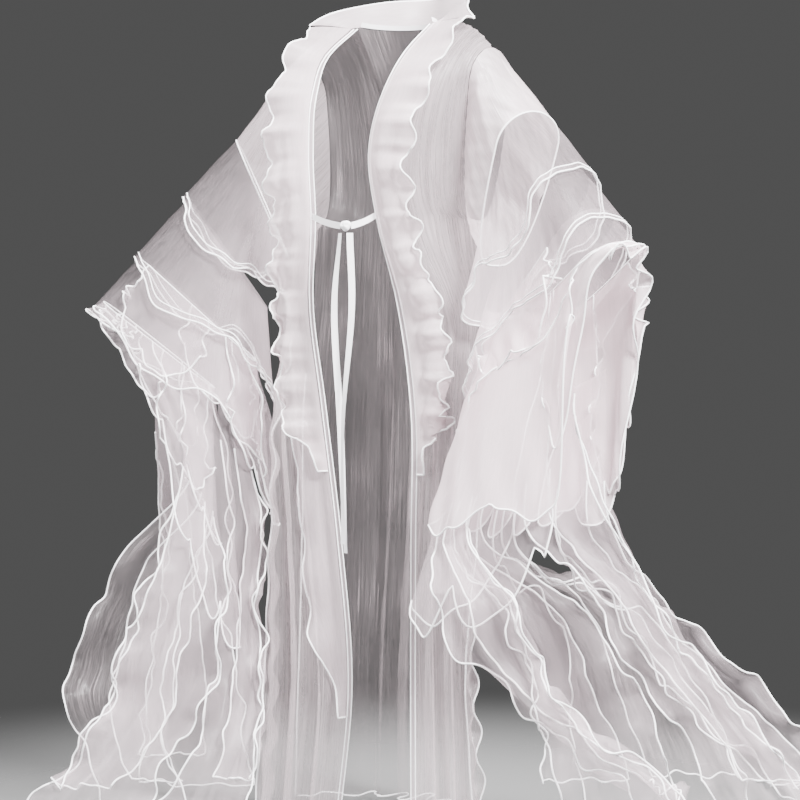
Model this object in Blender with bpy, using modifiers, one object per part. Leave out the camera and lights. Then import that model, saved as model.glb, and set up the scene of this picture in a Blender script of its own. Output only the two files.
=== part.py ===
"""Open-front hanfu robe in sheer organza, worn and held in its hanging form.

Metres, +Z up, the front faces -Y, the wearer's left is +X.  The origin is the centre of the neck base at
the level of the shoulder tops.  Every piece of cloth is a loft through sections, closed to one wall.
"""
import math

import bpy
import numpy as np

# ---------------------------------------------------------------- sizes
WALL = 0.0012                 # thickness of every cloth wall
SEAM_GAP = 0.0003             # clear distance between two sewn pieces
LAYER = WALL + SEAM_GAP       # from the middle of one wall to the next one lying on it
RIDGE_SHIFT = 0.0007          # each piece stands back this far from a seam that runs over a ridge
SIDE_SHIFT = 0.0016           # the same at the underarm, where the edges turn a corner

NECK_X = 0.070                # neck point, half width
NECK_BACK_Y = 0.062           # back of the neck opening
NECK_BACK_DROP = 0.004
SHOULDER_TIP = (0.180, 0.000, -0.045)
UNDERARM_SHARE = 0.27         # rows of the body that lie above the underarm
ARMHOLE_TURN = 0.170          # over this distance the loops turn from the armhole to the arm

BAND_WIDTH = 0.007
COLLAR_START = 0.0010         # distance of the collar's sewn edge from the band's seam
COLLAR_SEAM_LIFT = 0.0030
COLLAR_WAVES = 11
COLLAR_WAVE = 0.0075
COLLAR_BACK_WAVES = 3
COLLAR_BACK_REACH = 0.030
COLLAR_BACK_RISE = 0.046
COLLAR_JOIN = 0.0075          # the back ruffle starts this far behind the front ones
COLLAR_JOIN_RISE = 0.0030
STREAMER_WAVE = 0.012
STREAMER_HOLD = ((0.40, 0.004), (0.72, 0.007), (1.06, 0.009))    # share of the flounce, distance inside it
STREAMER_WAVE_LENGTH = 0.115

TIE_LEVEL = 0.300             # below the shoulders
TIE_WIDTH = 0.010
KNOT_SIZE = (0.019, 0.011, 0.016)

LOOP_COLUMNS = 30
TIER_ROWS = 4
UPPER_ROWS = 4
FRONT_COLUMNS = 11
BACK_COLUMNS = 24
ARMHOLE_ROWS = 8
SKIRT_ROWS = 11
STRIP_STEP = 0.016            # spacing of the rows of what lies along a front
STRIP_COLUMNS = 4
STRIP_ROWS = 13

WHITE = {
    "organza_crinkle": ((0.86, 0.85, 0.88, 1.0), 0.34),
    "organza_smooth": ((0.90, 0.89, 0.92, 1.0), 0.42),
    "ribbon": ((0.93, 0.92, 0.93, 1.0), 0.38),
}


class Table:
    """Rows of sizes with named columns, read smoothly between the rows by the first column."""

    def __init__(self, names, rows):
        self.names = names.split()
        self.rows = np.array(rows, dtype=float)

    def at(self, name, key):
        keys = self.rows[:, 0]
        values = self.rows[:, self.names.index(name)]
        slopes = np.gradient(values, keys)
        key = np.clip(key, keys[0], keys[-1])
        low = np.clip(np.searchsorted(keys, key) - 1, 0, len(keys) - 2)
        span = keys[low + 1] - keys[low]
        f = (key - keys[low]) / span
        return (values[low] * (2 * f**3 - 3 * f**2 + 1) + slopes[low] * span * (f**3 - 2 * f**2 + f)
                + values[low + 1] * (3 * f**2 - 2 * f**3) + slopes[low + 1] * span * (f**3 - f**2))


# Edges of the body pieces by depth below the shoulders.  Front: the opening edge and the outer edge.
FRONT_EDGES = {
    "right": Table("down front_x front_y side_x side_y bulge fold", (
        (0.000, -0.070, 0.000, -0.180, 0.000, 0.000, 0.000),
        (0.050, -0.071, -0.078, -0.176, -0.030, 0.010, 0.000),
        (0.110, -0.067, -0.118, -0.166, -0.050, 0.024, 0.000),
        (0.200, -0.063, -0.134, -0.160, -0.048, 0.034, 0.001),
        (0.300, -0.057, -0.136, -0.161, -0.036, 0.034, 0.002),
        (0.430, -0.066, -0.128, -0.172, -0.020, 0.026, 0.003),
        (0.585, -0.048, -0.122, -0.196, -0.050, 0.022, 0.007),
        (0.800, -0.024, -0.112, -0.205, -0.062, 0.014, 0.011),
        (1.020, -0.010, -0.104, -0.212, -0.066, 0.010, 0.014),
        (1.235, -0.034, -0.104, -0.226, -0.070, 0.008, 0.018))),
    "left": Table("down front_x front_y side_x side_y bulge fold", (
        (0.000, 0.070, 0.000, 0.180, 0.000, 0.000, 0.000),
        (0.050, 0.072, -0.074, 0.176, -0.030, 0.010, 0.000),
        (0.110, 0.060, -0.116, 0.166, -0.050, 0.024, 0.000),
        (0.200, 0.046, -0.138, 0.160, -0.048, 0.034, 0.001),
        (0.300, 0.058, -0.136, 0.161, -0.036, 0.034, 0.002),
        (0.430, 0.090, -0.122, 0.168, -0.014, 0.030, 0.003),
        (0.585, 0.108, -0.110, 0.170, -0.034, 0.016, 0.005),
        (0.800, 0.108, -0.108, 0.168, -0.040, 0.010, 0.008),
        (1.020, 0.106, -0.106, 0.176, -0.034, 0.008, 0.010),
        (1.235, 0.108, -0.108, 0.190, -0.030, 0.006, 0.014))),
}
BACK_EDGES = Table("down right_x right_y left_x left_y depth fold", (
    (0.000, -0.180, 0.000, 0.180, 0.000, 0.062, 0.000),
    (0.110, -0.178, 0.045, 0.178, 0.045, 0.098, 0.001),
    (0.200, -0.172, 0.040, 0.172, 0.040, 0.106, 0.001),
    (0.300, -0.166, 0.030, 0.166, 0.030, 0.104, 0.002),
    (0.430, -0.178, 0.026, 0.166, 0.026, 0.108, 0.004),
    (0.585, -0.202, 0.030, 0.152, 0.030, 0.136, 0.008),
    (0.800, -0.218, 0.046, 0.124, 0.044, 0.156, 0.013),
    (1.020, -0.236, 0.060, 0.094, 0.058, 0.172, 0.018),
    (1.250, -0.262, 0.084, 0.096, 0.080, 0.196, 0.024)))
FRONT_FOLDS = 3.5
BACK_FOLDS = 7.5

# The hanging loops of each sleeve by distance along the top of the arm.
SLEEVES = {
    "right": {
        "tip": (-0.180, 0.000, -0.045), "along": (-0.523, -0.366, -0.770),
        "loops": Table("along half height lean sway", (
            (0.000, 0.056, 0.262, 6.0, 0.000),
            (0.170, 0.064, 0.205, 24.0, 0.000),
            (0.290, 0.056, 0.215, 36.0, 0.000),
            (0.410, 0.047, 0.250, 48.0, 0.006),
            (0.500, 0.037, 0.225, 52.0, 0.010),
            (0.560, 0.034, 0.225, 54.0, 0.010)))},
    "left": {
        "tip": (0.180, 0.000, -0.045), "along": (0.679, -0.370, -0.634),
        "loops": Table("along half height lean sway", (
            (0.000, 0.056, 0.262, 6.0, 0.000),
            (0.170, 0.052, 0.240, 20.0, 0.020),
            (0.290, 0.047, 0.250, 32.0, 0.042),
            (0.410, 0.042, 0.280, 46.0, 0.058),
            (0.500, 0.038, 0.300, 57.0, 0.072),
            (0.560, 0.036, 0.300, 59.0, 0.076)))},
}

# Flounces of each sleeve: the seam, the advance along the top, the fall at the sides and the underside.
# The fall of the sides is reached at "knee", a share of the way round from the top to the underside.
TIER_NAMES = "seam advance side_fall under_fall knee forward waves wave phase"
TIERS = {
    "right": (
        (0.166, 0.130, 0.050, 0.085, 0.60, 0.000, 7, 0.0050, 0.4),
        (0.286, 0.130, 0.055, 0.130, 0.60, 0.000, 8, 0.0055, 1.3),
        (0.406, 0.108, 0.065, 0.150, 0.60, 0.004, 8, 0.0060, 2.6),
        (0.500, 0.030, 0.110, 0.190, 0.90, 0.008, 9, 0.0080, 0.9)),
    "left": (
        (0.166, 0.150, 0.050, 0.090, 0.60, 0.014, 7, 0.0050, 0.9),
        (0.300, 0.130, 0.055, 0.130, 0.60, 0.026, 8, 0.0055, 2.1),
        (0.400, 0.085, 0.075, 0.130, 0.60, 0.036, 8, 0.0060, 0.3),
        (0.480, 0.022, 0.290, 0.245, 0.30, 0.078, 9, 0.0085, 1.7)),
}


def clear_scene():
    for item in list(bpy.data.objects):
        bpy.data.objects.remove(item, do_unlink=True)


def smooth(share):
    share = np.clip(share, 0.0, 1.0)
    return share * share * (3.0 - 2.0 * share)


def unit(vector):
    vector = np.asarray(vector, dtype=float)
    return vector / np.maximum(np.linalg.norm(vector, axis=-1, keepdims=True), 1e-9)


# ---------------------------------------------------------------- sleeve forms
def loop_profile(half, height, turns):
    """Across and down of a hanging loop at shares of its girth from the top, with its outward normal."""
    angle = np.linspace(0.0, 2.0 * math.pi, 241)
    flat = np.sign(np.sin(angle)) * np.abs(np.sin(angle)) ** 0.62
    across = half * np.where(np.cos(angle) > 0.0, np.sin(angle), flat)
    down = np.where(np.cos(angle) > 0.0, half * (1.0 - np.cos(angle)), half - (height - half) * np.cos(angle))
    girth = np.concatenate(([0.0], np.cumsum(np.hypot(np.diff(across), np.diff(down)))))
    turns = np.asarray(turns, dtype=float)

    def read(at):
        at = np.mod(at, 1.0) * girth[-1]
        return np.interp(at, girth, across), np.interp(at, girth, down)

    here = read(turns)
    after = read(turns + 0.012)
    before = read(turns - 0.012)
    tangent = unit(np.stack((after[0] - before[0], after[1] - before[1]), axis=-1))
    return here[0], here[1], tangent[..., 1], -tangent[..., 0]


def sleeve_axes(sleeve, distance):
    """Directions along the arm, level outwards and level to the front: the armhole faces straight out."""
    along = unit(sleeve["along"])
    straight = np.array((math.copysign(1.0, along[0]), 0.0, 0.0))
    turned = smooth(distance / ARMHOLE_TURN)
    out = unit(straight * (1.0 - turned) + unit((along[0], along[1], 0.0)) * turned)
    front = np.array((out[1], -out[0], 0.0)) * math.copysign(1.0, along[0])
    return along, out, front


def sleeve_loop(sleeve, distance, turns, lift):
    """Points of the loop at a distance along the arm, moved out by lift."""
    along, out, front = sleeve_axes(sleeve, distance)
    loops = sleeve["loops"]
    half = loops.at("half", distance)
    height = loops.at("height", distance)
    lean = math.radians(loops.at("lean", distance))
    sway = loops.at("sway", distance)
    across, down, across_n, down_n = loop_profile(half, height, turns)
    across = across + across_n * lift
    down = down + down_n * lift
    hang = -out * math.sin(lean) - np.array((0.0, 0.0, math.cos(lean)))
    top = np.array(sleeve["tip"]) + along * distance
    share = np.clip(down / height, 0.0, 1.1)
    return top + np.outer(across, front) + np.outer(down, hang) + np.outer(sway * share**1.5, front)


def tier_sizes(side, index):
    return dict(zip(TIER_NAMES.split(), TIERS[side][index]))


def tier_points(side, index, turns, shares, lift=0.0, waved=1.0):
    """Grid of a flounce: rows from its seam to its hem, columns round the loop."""
    sleeve = SLEEVES[side]
    sizes = tier_sizes(side, index)
    along, _, front = sleeve_axes(sleeve, sizes["seam"])
    under = 0.5 - 0.5 * np.cos(2.0 * math.pi * turns)
    lower = smooth((under - 0.15) / 0.85)
    fall = sizes["side_fall"] * smooth(under / sizes["knee"])
    fall = fall + (sizes["under_fall"] - sizes["side_fall"]) * under**3
    advance = sizes["advance"] * (1.0 - lower) ** 1.2
    ripple = 1.0 + np.cos(2.0 * math.pi * sizes["waves"] * turns + sizes["phase"]
                          + 0.9 * np.sin(2.0 * math.pi * turns + sizes["phase"]))
    rows = []
    for share in shares:
        rise = LAYER * 1.6 * smooth(share * 2.5) + 0.004 * share
        out = lift + rise + waved * sizes["wave"] * share**1.7 * ripple * (0.35 + 0.65 * under)
        row = sleeve_loop(sleeve, sizes["seam"], turns, out)
        row = row + np.outer(advance * share, along) + np.outer(sizes["forward"] * lower * share, front)
        row[:, 2] -= fall * share
        rows.append(row)
    return np.array(rows)


# ---------------------------------------------------------------- body forms
def body_down(row_share, hem):
    """Depth below the shoulders at a share of the rows."""
    armhole = 0.300
    upper = row_share / UNDERARM_SHARE * armhole
    lower = armhole + (row_share - UNDERARM_SHARE) / (1.0 - UNDERARM_SHARE) * (hem - armhole)
    return np.where(row_share < UNDERARM_SHARE, upper, lower)


def armhole_point(side, row_share, half):
    """Armhole edge of the body: half is +1 for the front of the loop, -1 for its back."""
    turn = 0.5 * np.clip(row_share / UNDERARM_SHARE, 0.0, 1.0)
    turn = turn if half > 0 else 1.0 - turn
    return sleeve_loop(SLEEVES[side], 0.0, np.array([turn]), 0.0)[0]


def front_points(side, row_shares, column_shares):
    """Grid of a front: rows from the shoulder seam to the hem, columns from the opening to the side."""
    table = FRONT_EDGES[side]
    sign = 1.0 if side == "left" else -1.0
    underarm = armhole_point(side, UNDERARM_SHARE, 1.0)
    rows = []
    for row_share in row_shares:
        step_in = RIDGE_SHIFT * (2.6 + 8.0 * smooth((row_share - UNDERARM_SHARE) / 0.06))
        inset = np.array((-sign * step_in, 0.0, 0.0))
        down = float(body_down(row_share, 1.235))
        front = np.array((table.at("front_x", down) + sign * BAND_WIDTH * 0.85, table.at("front_y", down), -down))
        plain = np.array((table.at("side_x", down), table.at("side_y", down), -down))
        if row_share <= UNDERARM_SHARE:
            pull = armhole_point(side, row_share, 1.0) - plain
        else:
            start = np.array((table.at("side_x", 0.300), table.at("side_y", 0.300), -0.290))
            pull = (underarm - start) * (1.0 - smooth((down - 0.300) / 0.16))
        shift = np.array((0.0, -SIDE_SHIFT * smooth(row_share / UNDERARM_SHARE) - RIDGE_SHIFT, 0.0))
        pull = pull + inset + shift
        edge = plain + pull
        s = np.asarray(column_shares)[:, None]
        row = front * (1.0 - s) + plain * s + pull * s**3
        bulge = table.at("bulge", down) * np.sin(math.pi * s[:, 0]) ** 0.8
        fold = table.at("fold", down) * np.cos(2.0 * math.pi * FRONT_FOLDS * s[:, 0] + 0.6 + 0.8 * down)
        fold = fold * smooth(s[:, 0] * 3.0)
        away = unit(np.array((edge[1] - front[1], front[0] - edge[0], 0.0)))
        away = away if away[1] < 0.0 else -away
        turned = smooth((down - 0.300) / 0.20)
        away = unit(away * turned + np.array((0.0, -1.0, 0.0)) * (1.0 - turned))
        row = row + np.outer(bulge + fold, away)
        row[:, 1] -= RIDGE_SHIFT * max(0.0, 1.0 - row_share * 8.0)
        rows.append(row)
    return np.array(rows)


def back_top(columns):
    """Top edge of the back: shoulder seam, neck curve, shoulder seam, from right to left."""
    tip = np.array(SHOULDER_TIP)
    neck = np.array((NECK_X, 0.0, 0.0))
    points = []
    for s in columns:
        sign = -1.0 if s < 0.5 else 1.0
        off_centre = abs(s - 0.5) * 2.0
        shoulder = (off_centre - 0.42) / 0.58
        if shoulder >= 0.0:
            point = neck + (tip - neck) * shoulder
        else:
            angle = 0.5 * math.pi * off_centre / 0.42
            point = np.array((NECK_X * math.sin(angle), NECK_BACK_Y * math.cos(angle),
                              -NECK_BACK_DROP * math.cos(angle)))
        points.append(point * np.array((sign, 1.0, 1.0)))
    return np.array(points)


def back_points(row_shares, column_shares):
    """Grid of the back: rows from the top edge to the hem, columns from the right side to the left."""
    top = back_top(column_shares)
    s = np.asarray(column_shares)
    rows = []
    corrections = None
    for row_share in row_shares:
        down = float(body_down(row_share, 1.250))
        ends = []
        pulls = []
        for side, sign in (("right", -1.0), ("left", 1.0)):
            plain = np.array((BACK_EDGES.at(side + "_x", down), BACK_EDGES.at(side + "_y", down), -down))
            if row_share <= UNDERARM_SHARE:
                pull = armhole_point(side, row_share, -1.0) - plain
            else:
                start = np.array((BACK_EDGES.at(side + "_x", 0.3), BACK_EDGES.at(side + "_y", 0.3), -0.290))
                underarm = armhole_point(side, UNDERARM_SHARE, -1.0)
                pull = (underarm - start) * (1.0 - smooth((down - 0.300) / 0.16))
            back = SIDE_SHIFT * smooth(row_share / UNDERARM_SHARE) + RIDGE_SHIFT
            ends.append(plain)
            pulls.append(pull + np.array((-sign * RIDGE_SHIFT * 2.6, back, 0.0)))
        row = np.outer(1.0 - s, ends[0]) + np.outer(s, ends[1])
        row = row + np.outer((1.0 - s)**8, pulls[0]) + np.outer(s**8, pulls[1])
        middle = 0.5 * (ends[0][1] + ends[1][1])
        bulge = (BACK_EDGES.at("depth", down) - middle) * np.sin(math.pi * s) ** 0.7
        fold = BACK_EDGES.at("fold", down) * np.cos(2.0 * math.pi * BACK_FOLDS * s + 0.9 * down)
        row[:, 1] += bulge + fold * np.sin(math.pi * s) ** 0.5
        if corrections is None:
            corrections = top + np.array((0.0, 2.0 * RIDGE_SHIFT, 0.0)) - row
        row = row + corrections * max(0.0, 1.0 - row_share / UNDERARM_SHARE) ** 2
        rows.append(row)
    return np.array(rows)


# ---------------------------------------------------------------- solids
def material(slot):
    made = bpy.data.materials.get(slot)
    if made is None:
        colour, roughness = WHITE[slot]
        made = bpy.data.materials.new(slot)
        made.use_nodes = True
        shader = made.node_tree.nodes["Principled BSDF"]
        shader.inputs["Base Color"].default_value = colour
        shader.inputs["Roughness"].default_value = roughness
        shader.inputs["Metallic"].default_value = 0.0
    return made


def cloth(name, points, slot, closed=False, wall=WALL):
    """Close a grid of points to a solid wall: closed joins the last column to the first."""
    rows, columns = points.shape[:2]
    verts = [tuple(p) for row in points for p in row]
    faces = []
    for i in range(rows - 1):
        for j in range(columns if closed else columns - 1):
            k = (j + 1) % columns
            faces.append((i * columns + j, i * columns + k, (i + 1) * columns + k, (i + 1) * columns + j))
    mesh = bpy.data.meshes.new(name)
    mesh.from_pydata(verts, [], faces)
    mesh.materials.append(material(slot))
    made = bpy.data.objects.new(name, mesh)
    ROBE.objects.link(made)
    shell = made.modifiers.new("wall", "SOLIDIFY")
    shell.thickness = wall
    shell.offset = 0.0
    return made


def build_body():
    rows = front_rows()
    for side in ("right", "left"):
        cloth("front_" + side, front_points(side, rows, front_columns()), "organza_crinkle")
    cloth("back_panel", back_points(rows, np.linspace(0.0, 1.0, BACK_COLUMNS + 1)), "organza_crinkle")


def build_sleeves():
    turns = np.arange(LOOP_COLUMNS) / LOOP_COLUMNS
    for side in ("right", "left"):
        sleeve = SLEEVES[side]
        stations = np.linspace(0.0012, 0.1642, UPPER_ROWS + 1)
        upper = np.array([sleeve_loop(sleeve, t, turns, 0.0) for t in stations])
        cloth("sleeve_upper_" + side, upper, "organza_crinkle", closed=True)
        shares = np.linspace(0.0, 1.0, TIER_ROWS + 1)
        for index in range(len(TIERS[side])):
            grid = tier_points(side, index, turns, shares)
            cloth(f"flounce_{index + 1}_{side}", grid, "organza_smooth", closed=True)


# ---------------------------------------------------------------- trims on the fronts
def front_rows():
    return np.concatenate((np.linspace(0.0, UNDERARM_SHARE, ARMHOLE_ROWS + 1),
                           np.linspace(UNDERARM_SHARE, 1.0, SKIRT_ROWS + 1)[1:]))


def front_columns():
    """Column shares of a front, closer together by the opening, under the collar."""
    return np.linspace(0.0, 1.0, FRONT_COLUMNS + 1) ** 1.25


def row_share_at(down):
    """Row share of a front at a depth below the shoulders."""
    if down < 0.300:
        return down / 0.300 * UNDERARM_SHARE
    return UNDERARM_SHARE + (down - 0.300) / (1.235 - 0.300) * (1.0 - UNDERARM_SHARE)


def strip_downs(first, last):
    """Depths for the rows of a strip along a front: every row of the front, with more between them."""
    marks = [float(body_down(share, 1.235)) for share in front_rows()]
    marks = [first] + [m for m in marks if first + 0.004 < m < last - 0.004] + [last]
    downs = [first]
    for low, high in zip(marks[:-1], marks[1:]):
        steps = max(1, round((high - low) / STRIP_STEP))
        downs.extend(np.linspace(low, high, steps + 1)[1:])
    return np.array(downs)


def front_strip(side, downs, across, lifts):
    """Grid lying on a front: across holds distances from its opening edge, lifts the heights above it."""
    shares = front_rows()
    grid = front_points(side, shares, front_columns())
    normals = unit(np.cross(np.gradient(grid, axis=1), np.gradient(grid, axis=0)))
    normals = np.where(normals[:, :, 1:2] > 0.0, -normals, normals)
    rows = []
    for i, down in enumerate(downs):
        at = np.interp(row_share_at(down), shares, np.arange(len(shares)))
        low = min(int(at), len(shares) - 2)
        f = at - low
        line = grid[low] * (1.0 - f) + grid[low + 1] * f
        ways = normals[low] * (1.0 - f) + normals[low + 1] * f
        run = np.concatenate(([0.0], np.cumsum(np.linalg.norm(np.diff(line, axis=0), axis=1))))
        here = np.stack([np.interp(across[i], run, line[:, k]) for k in range(3)], axis=-1)
        way = unit(np.stack([np.interp(across[i], run, ways[:, k]) for k in range(3)], axis=-1))
        rows.append(here + way * np.asarray(lifts[i])[:, None])
    return np.array(rows)


def band_points(side, downs):
    """Band sewn beyond the opening edge of a front, in line with the cloth there."""
    near = front_strip(side, downs, [np.array((0.0, 0.006))] * len(downs), [np.zeros(2)] * len(downs))
    way = unit(near[:, 0] - near[:, 1])
    inner = near[:, 0] + way * SEAM_GAP * 2.0
    return np.stack((inner, inner + way * BAND_WIDTH * 0.5, inner + way * BAND_WIDTH), axis=1)


def build_bands():
    for side in ("right", "left"):
        cloth("band_" + side, band_points(side, strip_downs(0.003, 1.231)), "ribbon")
    cloth("band_neck", band_neck_points(21), "ribbon")


def band_neck_points(count):
    """Band standing round the back of the neck."""
    rows = []
    for angle in np.linspace(-0.5 * math.pi, 0.5 * math.pi, count):
        out = np.array((math.sin(angle), math.cos(angle), 0.0))
        edge = np.array((NECK_X * math.sin(angle), NECK_BACK_Y * math.cos(angle), 0.0))
        edge = edge + np.array((0.0, 0.0030, -NECK_BACK_DROP * math.cos(angle) + LAYER))
        rows.append((edge - out * 0.002, edge - out * 0.004 + np.array((0.0, 0.0, BAND_WIDTH))))
    return np.array(rows)


COLLAR = {
    "right": Table("down width lift flare", (
        (0.004, 0.062, 0.003, 0.012),
        (0.060, 0.054, 0.004, 0.012),
        (0.150, 0.056, 0.010, 0.010),
        (0.300, 0.064, 0.011, 0.010),
        (0.500, 0.064, 0.003, 0.013),
        (0.590, 0.060, 0.003, 0.012),
        (0.690, 0.008, 0.003, 0.003))),
    "left": Table("down width lift flare", (
        (0.004, 0.070, 0.004, 0.016),
        (0.060, 0.066, 0.004, 0.016),
        (0.150, 0.064, 0.012, 0.010),
        (0.300, 0.054, 0.011, 0.010),
        (0.500, 0.045, 0.003, 0.013),
        (0.590, 0.042, 0.003, 0.012),
        (0.690, 0.006, 0.003, 0.003))),
}


def collar_points(side, columns):
    table = COLLAR[side]
    downs = strip_downs(0.004, 0.690)
    phase = 0.5 if side == "right" else 1.6
    across = []
    lifts = []
    for down in downs:
        share = np.linspace(0.0, 1.0, columns)
        turn = 2.0 * math.pi * COLLAR_WAVES * (down / 0.690) + phase + 0.8 * math.sin(9.0 * down + phase)
        wave = COLLAR_WAVE * (1.0 + math.cos(turn)) * min(1.0, (0.700 - down) / 0.08)
        across.append(COLLAR_START + share * (table.at("width", down) + 0.005 * math.sin(turn)))
        rise = COLLAR_SEAM_LIFT + table.at("lift", down) * share + table.at("flare", down) * share**2
        lifts.append(rise + wave * share**1.4)
    return front_strip(side, downs, across, lifts)


def collar_back_points(count, columns):
    """Standing ruffle behind the neck: it carries on from the front ruffles at both shoulder seams."""
    ends = {side: collar_points(side, columns)[0] for side in ("right", "left")}
    share = np.linspace(0.0, 1.0, columns)
    rows = []
    for angle in np.linspace(-0.5 * math.pi, 0.5 * math.pi, count):
        out = np.array((math.sin(angle), math.cos(angle), 0.0))
        edge = np.array((NECK_X * math.sin(angle), NECK_BACK_Y * math.cos(angle), 0.0))
        edge = edge + np.array((0.0, 0.0030, 0.0025)) + out * 0.0030
        wave = COLLAR_WAVE * math.cos(2.0 * COLLAR_BACK_WAVES * angle + 0.6)
        reach = COLLAR_BACK_REACH * share + wave * share**1.5
        rise = COLLAR_BACK_RISE * share * (1.35 - 0.35 * share)
        row = edge + np.outer(reach, out) + np.outer(rise, (0.0, 0.0, 1.0))
        joined = (abs(angle) / (0.5 * math.pi)) ** 2.5
        end = ends["left" if angle > 0.0 else "right"] + np.array((0.0, COLLAR_JOIN, COLLAR_JOIN_RISE))
        rows.append(row * (1.0 - joined) + end * joined)
    return np.array(rows)


def build_collars():
    for side in ("right", "left"):
        cloth("collar_" + side, collar_points(side, 4), "organza_smooth")
    cloth("collar_back", collar_back_points(25, 4), "organza_smooth")


KNOT = (0.024, -0.164, -0.316)
TIE_SAG = 0.002
TAILS = {
    "right": Table("share x y down", (
        (0.0, 0.0150, -0.1660, 0.327), (0.3, 0.0040, -0.1660, 0.445), (0.6, 0.0120, -0.1630, 0.600),
        (1.0, 0.0190, -0.1580, 0.810))),
    "left": Table("share x y down", (
        (0.0, 0.0330, -0.1660, 0.327), (0.3, 0.0385, -0.1690, 0.445), (0.6, 0.0250, -0.1720, 0.600),
        (1.0, 0.0215, -0.1680, 0.795))),
}


def ribbon_rows(centres, widths_way, width):
    half = np.asarray(widths_way) * width * 0.5
    return np.stack((centres - half, centres, centres + half), axis=1)


def tie_points(side, sign, count):
    """Ribbon from the band of a front to the knot."""
    start = band_points(side, [TIE_LEVEL])[0][1] + np.array((0.0, -LAYER * 1.4, 0.0))
    end = np.array(KNOT) + np.array((sign * (KNOT_SIZE[0] * 0.5 + SEAM_GAP * 3.0), 0.0, 0.0))
    share = np.linspace(0.0, 1.0, count)[:, None]
    centres = start * (1.0 - share) + end * share
    centres[:, 2] -= TIE_SAG * np.sin(math.pi * share[:, 0])
    return ribbon_rows(centres, np.tile((0.0, 0.0, 1.0), (count, 1)), TIE_WIDTH)


def tail_points(side, sign, count):
    """Loose end of the tie, hanging from the knot."""
    table = TAILS[side]
    keys = np.linspace(0.0, 1.0, count)
    centres = np.array([(table.at("x", k), table.at("y", k), -table.at("down", k)) for k in keys])
    twist = 0.5 * np.sin(5.0 * keys + sign)
    way = np.stack((np.cos(twist), np.sin(twist), np.zeros(count)), axis=-1)
    return ribbon_rows(centres, way, TIE_WIDTH)


def build_ties():
    for side, sign in (("right", -1.0), ("left", 1.0)):
        cloth("tie_" + side, tie_points(side, sign, 9), "ribbon")
        cloth("tie_tail_" + side, tail_points(side, sign, 17), "ribbon")
    bpy.ops.mesh.primitive_cube_add(size=1.0, location=KNOT)
    lump = bpy.context.object
    lump.name = "tie_knot"
    lump.scale = KNOT_SIZE
    bpy.ops.object.transform_apply(location=False, rotation=False, scale=True)
    for collection in list(lump.users_collection):
        collection.objects.unlink(lump)
    ROBE.objects.link(lump)
    lump.data.materials.append(material("ribbon"))
    rounding = lump.modifiers.new("rounding", "BEVEL")
    rounding.width = 0.0045
    rounding.segments = 2


# ---------------------------------------------------------------- streamers
STREAMERS = {
    # name: side, flounce it hangs in, first and last turn on the loop, sections (centre, width, heading)
    "train_right": ("right", 3, 0.52, 0.62, Table("down x y width heading", (
        (0.860, -0.404, -0.112, 0.136, 18),
        (0.962, -0.425, -0.139, 0.158, 20),
        (1.074, -0.434, -0.158, 0.164, 21),
        (1.169, -0.414, -0.156, 0.138, 27),
        (1.244, -0.385, -0.136, 0.164, 28)))),
    "streamer_1_right": ("right", 3, 0.36, 0.50, Table("down x y width heading", (
        (0.859, -0.264, -0.178, 0.126, 16),
        (0.945, -0.270, -0.215, 0.147, 15),
        (1.060, -0.288, -0.238, 0.169, 14),
        (1.151, -0.324, -0.288, 0.172, 15),
        (1.217, -0.354, -0.327, 0.191, 13)))),
    "streamer_2_right": ("right", 2, 0.35, 0.45, Table("down x y width heading", (
        (0.777, -0.218, -0.102, 0.055, 14),
        (0.900, -0.217, -0.122, 0.055, 14),
        (1.048, -0.196, -0.158, 0.082, 13),
        (1.133, -0.179, -0.205, 0.107, 19),
        (1.207, -0.192, -0.235, 0.151, 24)))),
    "streamer_3_right": ("right", 3, 0.66, 0.74, Table("down x y width heading", (
        (0.760, -0.423, -0.015, 0.071, 19),
        (0.894, -0.419, -0.001, 0.095, 23),
        (1.095, -0.419, 0.018, 0.155, 24),
        (1.240, -0.434, 0.038, 0.220, 25)))),
    "streamer_1_left": ("left", 3, 0.36, 0.47, Table("down x y width heading", (
        (0.849, 0.333, -0.286, 0.112, 19),
        (0.919, 0.352, -0.266, 0.117, 15),
        (0.988, 0.404, -0.242, 0.085, 7),
        (1.056, 0.481, -0.201, 0.088, 8),
        (1.139, 0.590, -0.143, 0.104, 6)))),
    "streamer_2_left": ("left", 3, 0.52, 0.59, Table("down x y width heading", (
        (0.874, 0.365, -0.147, 0.115, 25),
        (1.006, 0.410, -0.097, 0.145, 23),
        (1.170, 0.444, -0.055, 0.189, 23)))),
    "streamer_3_left": ("left", 3, 0.14, 0.25, Table("down x y width heading", (
        (0.846, 0.520, -0.185, 0.084, 21),
        (0.928, 0.567, -0.164, 0.102, 24),
        (1.009, 0.628, -0.134, 0.121, 25),
        (1.133, 0.708, -0.097, 0.144, 23)))),
    "streamer_4_left": ("left", 3, 0.73, 0.82, Table("down x y width heading", (
        (0.902, 0.445, 0.037, 0.099, 17),
        (0.991, 0.504, 0.085, 0.131, 17),
        (1.080, 0.582, 0.139, 0.142, 19),
        (1.185, 0.678, 0.200, 0.147, 15)))),
    "train_left": ("left", 3, 0.62, 0.66, Table("down x y width heading", (
        (0.943, 0.330, 0.100, 0.150, 41),
        (1.087, 0.350, 0.175, 0.210, 40),
        (1.221, 0.362, 0.235, 0.270, 37)))),
}


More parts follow.
